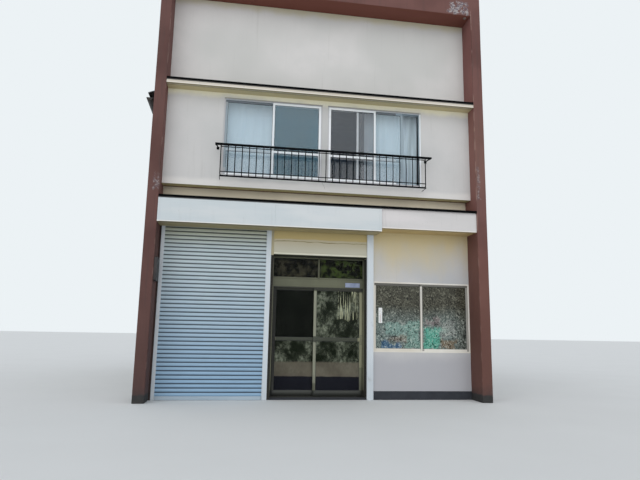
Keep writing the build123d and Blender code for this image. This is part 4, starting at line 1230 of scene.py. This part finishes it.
IRON = iron_paint()
piece("window_railing", joined(guard()), IRON, ("upper_railing",))
piece("railing_arms", joined(guard_arms()), IRON, ("railing_brackets",))

# %% [markdown]
# ## The entrance
#
# Behind the wall line stands a bronze aluminium screen: two sliding leaves, a deep header, and two
# lights over it. The header has a shadow line along its foot and its top. Each leaf is a frame
# with a middle rail and a kick rail. The leaves could have a section of their own, but they come
# from the same kind of maker as the windows, so they are built from the windows' sash section.

# %% Door frame
# What the photograph shows on the bronze: x from, x to, z from, z to, ragged distance; tone; share.
DOOR_TONES = (
    ((-0.09, 0.10, 0.25, 1.76, 0.02), (142, 143, 126), 0.8),
    ((0.70, 0.79, 0.5, 1.76, 0.01), (160, 158, 128), 0.6),
    ((-0.69, 0.70, 0.91, 1.01, 0.01), (54, 58, 48), 0.9),
    # Painted shade on the left leaf's outer stile, in its gap:
    ((-0.757, -0.698, 0.04, 1.83, 0.002), (12, 13, 8), 0.96),
    # Painted shade along the top rails, under the header:
    ((-0.757, 0.787, 1.776, 1.834, 0.002), (36, 37, 30), 0.9),
    ((-0.8, 0.82, 1.834, 1.99, 0.002), (76, 78, 60), 0.5))
JAMB, TRANSOM_BAR, SEAL = 0.025, 0.022, 0.006
# Lips under the header guide the leaves: y from the header's face.
LIPS = ((0.0, 0.004), (0.044, 0.048), (0.088, 0.092))


def bronze():
    """Bronze anodising gone dull: olive-brown metal, lighter where hands and rain have worn it, with
    painted shade on the left leaf's outer stile and along the top rails.
    """
    f = Finish("bronze_anodised", Metallic=0.35, Roughness=0.42)
    f.colour = f.blend(f.cloud(0.35, 0.65, 1.6, 4), (96, 97, 78), (116, 117, 94))
    f.coat(f.cloud(0.3, 0.75, 3, 4, (60, 60, 1)), (88, 88, 74), 0.25)
    for place, tone, share in DOOR_TONES:
        f.coat(f.patch(*place), tone, share)
    f.coat(f.between(f.wavy(0.3, 6), 0.7, 0.15), (64, 64, 60), 0.45)
    f.coat(f.between(f.z, 0.14, 0.12), (40, 42, 40), 0.9)
    return f.done((f.noise(300, 2), 0.0002))


def header():
    """The deep header with a shadow line along its foot and top, and the lips under it."""
    low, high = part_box("door_header")
    face, foot, back = low.y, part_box("door_jambs")[1].z, low.y + 0.003
    section = [(face, foot), (face, foot + 0.010), (back, foot + 0.013), (back, high.z - 0.012),
               (face, high.z - 0.009), (face, high.z), (high.y, high.z), (high.y, foot)]
    lips = [bar(low.x + JAMB, high.x - JAMB, face + near, face + far, low.z, foot + 0.001)
            for near, far in LIPS]
    return joined([run(section, 0, (low.x, high.x))] + lips)


def transom():
    """Metal and rubber of the two lights over the header, which share their middle bar."""
    low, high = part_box("transom_frame")
    glass_low, glass_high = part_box("transom_glass")
    middle, half = (low.x + high.x) / 2, TRANSOM_BAR / 2
    lights, seals = [], []
    for x0, x1 in ((low.x, middle + half), (middle - half, high.x)):
        lights.append(sash_frame(x0, x1, low.z, high.z, low.y + 0.012, high.y - 0.012, TRANSOM_BAR))
        seals.append(gasket(x0 + TRANSOM_BAR, x1 - TRANSOM_BAR, low.z + TRANSOM_BAR, high.z - TRANSOM_BAR,
                            glass_low.y - SEAL, glass_high.y + SEAL))
    return joined(lights), joined(seals)


BRONZE = bronze()
piece("entrance_header", header(), BRONZE, ("door_header",), edge=0.0008)
dress(BRONZE, "door_jambs", "door_sill")
lights, seals = transom()
piece("transom_lights", lights, BRONZE, ("transom_frame",), edge=0.0008)
piece("transom_gaskets", seals, RUBBER)

# %% Door leaves
LEAF_FOOT, KICK, LEAF_STILE, LEAF_RAIL, MID_RAIL = 0.036, 0.090, 0.050, 0.057, 0.933
ROLLER, ROLLER_Z, ROLLER_INSET = 0.014, 0.0443, 0.110
PULL_HALF, PULL_LOW, PULL_HIGH, PULL_RIM = 0.0125, 0.880, 1.040, 0.004


def leaf(low, high, pull_right):
    """Leaf metal and rubber: kick, middle and top rails between two stiles, two rollers, a flush pull."""
    split, half_rail = MID_RAIL + LEAF_RAIL / 2, LEAF_RAIL / 2
    middle, x0, x1 = (low.y + high.y) / 2, low.x + LEAF_STILE, high.x - LEAF_STILE
    metal = [sash_frame(low.x, high.x, foot, head, low.y, high.y, (LEAF_STILE, LEAF_STILE, *rails))
             for foot, head, rails in ((LEAF_FOOT, split, (KICK, half_rail)),
                                       (split, high.z, (half_rail, LEAF_STILE)))]
    rubber = [gasket(x0, x1, z0, z1, middle - SEAL, middle + SEAL) for z0, z1 in
              ((LEAF_FOOT + KICK, MID_RAIL), (MID_RAIL + LEAF_RAIL, high.z - LEAF_STILE))]
    turn = np.linspace(0, 2 * math.pi, 20, endpoint=False)
    for x in (low.x + ROLLER_INSET, high.x - ROLLER_INSET):
        wheel = np.stack([x + ROLLER * np.cos(turn), ROLLER_Z + ROLLER * np.sin(turn)], -1)
        metal.append(run(wheel, 1, (middle - 0.005, middle + 0.005)))
    pull = (x1 if pull_right else low.x) + LEAF_STILE / 2
    rim = [(0, low.y - 0.0015), (0.5, low.y - 0.002), (1, low.y), (1, low.y + 0.004), (0, low.y + 0.004)]
    cup = picture_frame(pull - PULL_HALF, pull + PULL_HALF, PULL_LOW, PULL_HIGH, PULL_RIM, rim)
    return joined(metal), joined(rubber), cup


for word in ("left", "right"):
    node, body = f"{word}_door_leaf", f"{word}_leaf"
    metal, rubber, cup = leaf(*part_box(node), word == "right")
    piece(f"{word}_leaf_metal", metal, BRONZE, (node,), body, 0.001)
    piece(f"{word}_leaf_gaskets", rubber, RUBBER, body=body)
    piece(f"{word}_leaf_pull", cup, RUBBER, body=body, edge=0.0004)

# %% [markdown]
# ## Glass
#
# Perfectly clear glass would vanish. A real pane carries a thin film of dust, and the film gives
# it a tone of its own. Reflections are painted into it: one stretch of the upper panes is bluer and
# another darker, and the door glass has green-grey clouds, pale uprights, a brown band and a
# blue-black foot. The ground window has rolled glass: worm-like ripples, with painted glints and
# shade, that break what stands in the room into blots of soft colour. The room could be furnished
# for that, but so little of it comes through that blots are enough.

# %% Glass
# Painted reflections make the upper panes bluer in the right half of the left window, and darker
# in the left half of the right window: x from, x to, tone.
PANE_REFLECTIONS = ((-0.90, -0.02, (130, 196, 222)), (-0.02, 0.97, (66, 86, 104)))
# Blots behind the rolled glass: x from, x to, z from, z to; colour; share.
BLOTS = (
    ((1.82, 2.10, 0.80, 1.18), (80, 168, 146), 0.9), ((1.90, 2.30, 1.10, 1.20), (116, 176, 158), 0.6),
    ((1.12, 1.50, 1.04, 1.22), (132, 168, 158), 0.6), ((1.52, 1.76, 0.84, 1.28), (124, 164, 152), 0.7),
    ((1.09, 1.40, 0.80, 0.93), (60, 100, 134), 0.9), ((1.22, 1.52, 0.94, 1.03), (124, 100, 84), 0.55),
    ((2.12, 2.38, 0.84, 0.98), (128, 104, 74), 0.7), ((2.13, 2.38, 1.02, 1.30), (162, 166, 160), 0.6),
    ((1.84, 2.10, 1.22, 1.32), (150, 128, 130), 0.5))


def dusty_glass(name, tone, share, stretches=()):
    """Clear sheet: a share of it is a cloudy film of dust, of one tone but for stretches
    (from, to, tone) of painted reflection."""
    f = Finish(name, Roughness=0.03, IOR=2.4, Alpha=share)
    f.colour = tone
    for start, stop, other in stretches:
        f.coat(f.part(f.between(f.x, start, start + 0.05), f.between(f.x, stop, stop - 0.05)), other)
    f.coat(f.cloud(0.35, 0.65, 0.9, 2), (150, 158, 166), 0.25)
    return f.done((f.noise(1.5, 1), 0.001))


def door_glass(name, black_above=False):
    """Dark sheet, a little see-through, with reflections painted on it: green-grey and streaked, with
    pale uprights, brown and then blue-black at the foot. In the left leaf all of the upper light is
    nearly black."""
    f = Finish(name, Roughness=0.05, IOR=1.12, Alpha=0.86)
    # Painted reflections: green-grey clouds and pale uprights.
    fine = f.blend(f.cloud(0.40, 0.64, 24, 5, (1.4, 1, 1), 0.65), (78, 84, 70), (138, 144, 126))
    f.colour = f.blend(f.cloud(0.38, 0.66, 3.6, 6, (1.3, 1, 1), 0.6), (26, 32, 22), fine)
    streak = f.cloud(0.50, 0.60, 6, 4, (9, 1, 0.4), 0.6)
    f.coat(f.part(streak, f.patch(0.36, 0.76, 1.30, 1.78, 0.05)), (200, 202, 168), 0.85)
    if black_above:
        f.coat(f.between(f.z, 0.95, 1.0), (6, 10, 6), 0.96)
    # Painted reflections: a brown band, and a blue-black foot.
    brown = f.blend(f.cloud(0.35, 0.65, 3, 4), (104, 98, 86), (120, 114, 100))
    f.coat(f.between(f.wavy(0.03, 6), 0.62, 0.58), brown, 0.85)
    f.coat(f.between(f.wavy(0.02, 6), 0.37, 0.35), (22, 25, 36), 0.95)
    mottle = f.cloud(0.46, 0.58, 11, 6, EVEN, 0.7)
    # Painted reflections on the transom glass: a dark mottle with a green patch.
    transom = f.between(f.z, 1.95, 2.0)
    f.coat(transom, f.blend(mottle, (18, 20, 17), (68, 66, 52)))
    f.coat(f.part(transom, f.between(f.x, -0.05, 0.15), mottle), (64, 80, 36))
    return f.done((f.noise(2.0, 2), 0.001))


def rolled_glass():
    """Ripples and blots: a blot is a ragged upright patch of one colour, and the ripple lays painted
    glints and painted shade over it."""
    f = Finish("rolled_glass", Roughness=0.25, IOR=1.3)
    f.colour = f.blend(f.between(f.wavy(0.3, 2), 1.75, 1.25), (70, 69, 58), (110, 124, 120))
    f.coat(f.between(f.x, 2.25, 2.55), (62, 58, 46), 0.6)
    for place, tone, share in BLOTS:
        f.coat(f.patch(*place, 0.10, 6), tone, share)
    spot = f.node("Mapping", {"Vector": f.object, "Scale": (1, 1, 0.9)}).outputs[0]
    ripple = f.node("TexNoise", {"Vector": spot, "Scale": 20, "Detail": 2, "Distortion": 2.2}).outputs[0]
    # Painted glints where the ripple is high, and painted shade where it is low.
    pale = f.blend(f.between(f.z, 1.6, 1.2), (150, 150, 132), (204, 210, 200))
    f.coat(f.between(ripple, 0.52, 0.70), pale, 0.6)
    f.coat(f.between(ripple, 0.48, 0.34), (14, 16, 14), 0.85)
    return f.done((ripple, 0.005))


dress(dusty_glass("upper_glass", (184, 216, 232), 0.17, PANE_REFLECTIONS), "upper_window_glass")
dress(dusty_glass("rear_glass", (128, 140, 146), 0.93), "rear_window_glass")
dress(door_glass("left_leaf_glass", True), "left_door_glass")
dress(door_glass("door_glass"), "right_door_glass", "transom_glass")
dress(rolled_glass(), "ground_window_glass")

# %% [markdown] ## Curtains  Thin pale blue cloth hangs from a rod behind each upper window. A
# simulation could drop it into folds, but a formula gives the same folds at every run. A hung cloth
# is a surface of two parameters: across it the depth waves in folds, and down it the folds grow
# deeper and drift to the side.

# %% Curtains
def hung_cloth(low, high, folds, drift, fullness):
    """Cloth at (u across, v down): y = middle + depth(v) sin(2 pi folds (u + bend(u)) + drift v). It is
    about twice as thick in the hem and the heading. Gives the solid and the cut (width, length)."""
    across, down = np.meshgrid(np.linspace(0, 1, 16 * folds + 1), np.linspace(0, 1, 49))
    place = across + 0.022 * np.sin(5.1 * math.pi * across + drift)
    place += 0.010 * np.sin(9.7 * math.pi * across)
    wave = np.sin(2 * math.pi * folds * place + drift * down)
    depth = (high.y - low.y) / 2 - 0.004
    swell = 0.78 + 0.22 * np.cos(3.3 * math.pi * across + 2 * drift)
    swing = depth * fullness * (0.45 + 0.5 * down) * swell
    x = low.x + (high.x - low.x) * across + 0.004 * np.sin(math.pi * across) * np.sin(5 * down + drift)
    y = (low.y + high.y) / 2 + swing * wave
    z = high.z - (high.z - low.z) * down
    hem = np.where((down > 0.965) | (down < 0.03), 1.5, 0.8) / 1000
    cut = np.hypot(np.diff(x, axis=1), np.diff(y, axis=1)).sum(1).mean()
    front, back = (np.stack([x, y + turn * hem, z], -1) for turn in (-1, 1))
    return shell(front, back), (float(cut), high.z - low.z)


def thin_cloth():
    """Pale blue plain weave: crossed fine threads as bump, soft creases, a little sheen, a painted
    shadow at the top and painted shade in the folds where the window stands open.
    """
    f = Finish("pale_blue_cloth", Roughness=0.9, Sheen_Weight=0.15)
    f.colour = f.blend(f.cloud(0.35, 0.65, 1.6, 3, (1, 1, 0.5)), (196, 212, 222), (208, 224, 232))
    # Painted shadow at the top, under the window's head.
    f.coat(f.between(f.wavy(0.1, 3), 4.70, 4.98), (140, 144, 148), 0.5)
    # Painted shade in the folds where the window stands open.
    folds = f.cloud(0.35, 0.6, 2.5, 3, (9, 1, 0.4))
    f.coat(f.part(f.between(f.x, 1.42, 1.50), folds), (150, 164, 168), 0.5)
    warp, weft = f.noise(700, 1, (1, 1, 0.03)), f.noise(700, 1, (0.03, 0.03, 1))
    return f.done((f.noise(6, 4, (1, 1, 0.3)), 0.004), (warp, 0.0004), (weft, 0.0004))


CLOTH = thin_cloth()
for node, folds, drift, fullness in (("left_curtain", 5, 0.8, 0.45), ("right_curtain", 9, 2.1, 0.9)):
    cloth_solid, cut = hung_cloth(*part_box(node), folds, drift, fullness)
    cloth = piece(f"{node}_cloth", cloth_solid, CLOTH, (node,))
    print(f"{node} was cut {cut[0]:.3f} m wide and {cut[1]:.3f} m long")
dress(WHITE, "curtain_rods")

# %% [markdown]
# ## Concrete and boards
#
# The slab shows as a strip round the foot of the walls and as the entrance step. At the front it
# is nearly black, in a mottled strip. The upper floor is boarded. Its joints could be cut as
# grooves, but it is only seen through the windows, so each joint is a dark line in the material.

# %% Concrete and floorboards
CEILING_FOOT, CEILING_TOP = 5.020, 5.032


def concrete():
    """Rough concrete: pores and clouds, and a dark mottled strip along the front."""
    f = Finish("rough_concrete", Roughness=0.94)
    f.colour = f.blend(f.cloud(0.35, 0.65, 1.2, 5), (118, 116, 111), (142, 139, 132))
    f.coat(f.cloud(0.6, 0.68, 48, 4, EVEN, 0.65), (92, 90, 86))
    f.coat(f.between(f.y, FRONT + 0.62, FRONT + 0.58), f.blend(f.noise(7, 5), (36, 40, 46), (62, 65, 71)))
    return f.done((f.noise(9, 4), 0.003), (f.noise(120, 4, EVEN, 0.6), 0.0015))


def floorboards(board):
    """Boards that run back from the front: the place within a board gives the joint."""
    f = Finish("floorboards", Roughness=0.6)
    grain = f.cloud(0.35, 0.7, 8, 6, (5, 0.5, 1), 0.6)
    f.colour = f.blend(grain, (126, 98, 70), (92, 68, 46))
    f.coat(f.between(f.sum("PINGPONG", f.x, board / 2), 0.0015, 0.0006), (34, 26, 20))
    return f.done((grain, 0.0006))


def plain_skin(name, tone, dim, rough):
    """Enamel or plastic: two near tones in soft clouds, fine specks of dirt and a faint bump."""
    f = Finish(name, Roughness=rough)
    f.colour = f.blend(f.cloud(0.35, 0.65, 9, 4), dim, tone)
    f.coat(f.cloud(0.64, 0.72, 90, 4), (96, 92, 86), 0.35)
    return f.done((f.noise(220, 2), 0.0002))


dress(concrete(), "foundation", "entrance_step")
dress(floorboards(0.09), "upper_floor")
low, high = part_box("upper_floor")
ceiling = bar(low.x + 0.003, high.x - 0.003, low.y + 0.125, high.y - 0.005, CEILING_FOOT, CEILING_TOP)
piece("upper_ceiling", ceiling, plain_skin("ceiling_board", (116, 118, 118), (102, 105, 106), 0.9))

# %% [markdown]
# ## Gutters and downpipes
#
# A gutter is a half ring in section with a rolled bead along its outer lip. Straps over the top
# tie it to the eave board. The downpipe leaves through a funnel, bends back to the wall, and is
# held by three clips. Cylinders could be stacked for the funnel, collars and clips. One helper
# turns them instead: a row of circles, each with its own radius and height.

# %% Gutters and downpipes
gutter_low, gutter_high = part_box("gutters")
PIPE_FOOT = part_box("downpipes")[0].z
WALL_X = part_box("right_wall")[1].x
GUTTER_RADIUS, GUTTER_SHEET, BEAD = 0.055, 0.003, 0.005
GUTTER_X, GUTTER_TOP = gutter_high.x - GUTTER_RADIUS, gutter_high.z
PIPE_X, PIPE_Y, PIPE_RADIUS, PIPE_BEND = 2.872, 3.40, 0.029, 4.6025
COLLARS = (PIPE_BEND - 0.13, 2.9, 1.1)
CLIPS = (0.15, 0.5, 0.85)


def turned(x, y, profile, sides=20):
    """Circles of (radius, height) round an upright line, joined and capped."""
    turn = np.linspace(0, 2 * math.pi, sides, endpoint=False)
    radius, height = np.array(profile, float).T[..., None]
    return loft(np.stack([x + radius * np.cos(turn), y + radius * np.sin(turn), height + 0 * turn], -1))


def collar(x, y, z, radius, lip, tall):
    """A ring round the pipe whose ends draw in by a millimetre or two over the height of the lip."""
    return turned(x, y, [(radius, z), (0.032, z + lip), (0.032, z + tall - lip), (radius, z + tall)])


def gutter(side):
    """Half ring, bead, end caps and straps of one gutter."""
    def along(outline, y0, y1):
        """A section of the right gutter, or its mirror image, from y0 to y1."""
        return run((np.asarray(outline) + (GUTTER_X, GUTTER_TOP)) * (side, 1), 1, (y0, y1))

    start, stop = gutter_low.y, gutter_high.y
    turn = np.linspace(math.pi, 2 * math.pi, 25)
    circle = np.linspace(0, 2 * math.pi, 10, endpoint=False)
    outer = np.stack([np.cos(turn), np.sin(turn)], -1) * GUTTER_RADIUS
    inner = outer[::-1] * (1 - GUTTER_SHEET / GUTTER_RADIUS)
    bead = np.stack([GUTTER_RADIUS + BEAD * (np.cos(circle) - 1), BEAD * (np.sin(circle) - 1)], -1)
    reach = GUTTER_RADIUS - 0.002
    tie = [(-GUTTER_RADIUS, 0), (reach, 0), (reach, 0.003), (-GUTTER_RADIUS, 0.003)]
    solids = [along(np.concatenate([outer, inner]), start, stop), along(bead, start, stop)]
    solids += [along(outer, y, y + 0.004) for y in (start, stop - 0.004)]
    return solids + [along(tie, y, y + 0.022) for y in np.arange(start + 0.25, stop, 0.9)]


def downpipe(side):
    """Funnel, bent pipe, collars and wall clips of one downpipe."""
    drop, top_x, x = GUTTER_TOP - GUTTER_RADIUS, side * GUTTER_X, side * PIPE_X
    path = [(top_x, PIPE_Y, drop), (top_x, PIPE_Y, drop - 0.06), (x, PIPE_Y, PIPE_BEND),
            (x, PIPE_Y, PIPE_FOOT)]
    funnel = [(0.030, drop - 0.055), (0.034, drop - 0.03), (0.042, drop + 0.004)]
    solids = [rod(bend(path, 0.07, 8), PIPE_RADIUS, 16), turned(top_x, PIPE_Y, funnel)]
    solids += [collar(x, PIPE_Y, z, 0.030, 0.004, 0.05) for z in COLLARS]
    near, far = sorted((side * WALL_X, side * (PIPE_X - 0.025)))
    for share in CLIPS:
        z = PIPE_FOOT + share * (PIPE_BEND - PIPE_FOOT)
        solids.append(collar(x, PIPE_Y, z, 0.031, 0.002, 0.03))
        solids.append(bar(near, far, PIPE_Y - 0.006, PIPE_Y + 0.006, z + 0.008, z + 0.022))
    return solids


def gutter_plastic():
    """Brown plastic gone chalky: paler on what faces the sky, with long rain streaks. Its near-black
    base tones are dark brown plastic darkened further as painted shade.
    """
    f = Finish("brown_plastic", Roughness=0.55)
    # Dark brown plastic, darkened further as painted shade.
    f.colour = f.blend(f.cloud(0.35, 0.65, 2.5, 4), (24, 19, 17), (38, 30, 26))
    f.coat(f.part(f.between(f.faces_up, 0.2, 0.9), f.cloud(0.3, 0.7, 6, 4)), (148, 130, 114), 0.5)
    f.coat(f.cloud(0.56, 0.74, 4, 5, (6, 6, 0.4)), (60, 50, 44), 0.4)
    return f.done((f.noise(30, 3), 0.0006))


GUTTER = gutter_plastic()
piece("gutter_channels", joined(gutter(-1) + gutter(1)), GUTTER, ("gutters",))
piece("downpipe_runs", joined(downpipe(-1) + downpipe(1)), GUTTER, ("downpipes",), edge=0.0006)

# %% [markdown]
# ## Small things
#
# A bare enamel plate hangs on the door header, a thermometer on the window, a shallow box on the
# left fin, and a small round lamp under the beam. They could be left as plain blocks, but such
# things give a front its scale, so each gets the few sections that make it what it is.

# %% Plate and thermometer
def door_plate(low, high):
    """A plate with round corners, a raised rim and two screws."""
    rim = [(0, 0.002), (0.3, 0), (0.8, 0), (1, 0.002), (1, 0.0025), (0, 0.0025)]
    rim = [(share, low.y + depth) for share, depth in rim]
    screws = [run(round_corners(x - 0.004, x + 0.004, low.z + 0.034, low.z + 0.042, 0.004), 1,
                  (low.y + 0.0003, low.y + 0.003)) for x in (low.x + 0.012, high.x - 0.012)]
    plate = run(round_corners(low.x, high.x, low.z, high.z, 0.006), 1, (low.y + 0.0015, high.y))
    return joined([plate, picture_frame(low.x, high.x, low.z, high.z, 0.005, rim)] + screws)


def spirit(x, y, foot):
    """A bulb and a thin tube over it, in metres above the thermometer's foot."""
    def upright(y, heights, radius, sides):
        """A round bar through three heights."""
        return rod([(x, y, foot + height) for height in heights], radius, sides)

    return joined([upright(y + 0.0035, (0.018, 0.024, 0.030), 0.0034, 12),
                   upright(y + 0.003, (0.028, 0.090, 0.150), 0.0016, 8)])


def scale_marks(x, y, z0, z1):
    """Short lines on both sides of the tube; each fifth one is longer."""
    marks = []
    for count, z in enumerate(np.linspace(z0, z1, 26)):
        reach = 0.014 if count % 5 == 0 else 0.008
        for x0, x1 in ((x - 0.005 - reach, x - 0.005), (x + 0.005, x + 0.005 + reach)):
            marks.append(bar(x0, x1, y + 0.0022, y + 0.0035, z, z + 0.0009))
    return joined(marks)


piece("door_plate", door_plate(*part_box("number_plate")),
      plain_skin("plate_enamel", (150, 160, 184), (126, 138, 166), 0.4), ("number_plate",))
low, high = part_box("thermometer")
middle = (low.x + high.x) / 2
board = run(round_corners(low.x, high.x, low.z, high.z, 0.012), 1, (low.y + 0.003, high.y))
piece("thermometer_board", board, plain_skin("white_plastic", (246, 247, 246), (236, 237, 235), 0.4),
      ("thermometer",), edge=0.001)
piece("thermometer_spirit", spirit(middle, low.y, low.z),
      plain_skin("red_spirit", (176, 36, 34), (160, 30, 30), 0.15))
piece("thermometer_marks", scale_marks(middle, low.y, low.z + 0.040, high.z - 0.030), RUBBER)

# %% Box and lamp
def fin_box(low, high):
    """A shallow box: a body with round corners, and a lid that stands out round it."""
    body = round_corners(low.y + 0.002, high.y - 0.002, low.z + 0.002, high.z - 0.002, 0.012)
    return joined([run(body, 0, (low.x, high.x - 0.012)),
                   run(round_corners(low.y, high.y, low.z, high.z, 0.014), 0, (high.x - 0.015, high.x))])


def lamp(low, high):
    """A round base and a shallow dome below it."""
    swell = np.linspace(0, math.pi / 2 - 0.12, 8)
    dome = [(0.026 * math.cos(turn), high.z - 0.008 - 0.017 * math.sin(turn)) for turn in swell]
    base = [(0.030, high.z), (0.030, high.z - 0.006), (0.028, high.z - 0.008)]
    return turned((low.x + high.x) / 2, (low.y + high.y) / 2, base + dome, 28)


piece("fin_box_cover", fin_box(*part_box("fin_box")),
      plain_skin("dark_box_paint", (52, 44, 44), (36, 31, 32), 0.5), ("fin_box",), edge=0.002)
piece("beam_lamp", lamp(*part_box("soffit_lamp")),
      plain_skin("lamp_plastic", (128, 112, 104), (112, 98, 92), 0.6), ("soffit_lamp",))

# %% [markdown]
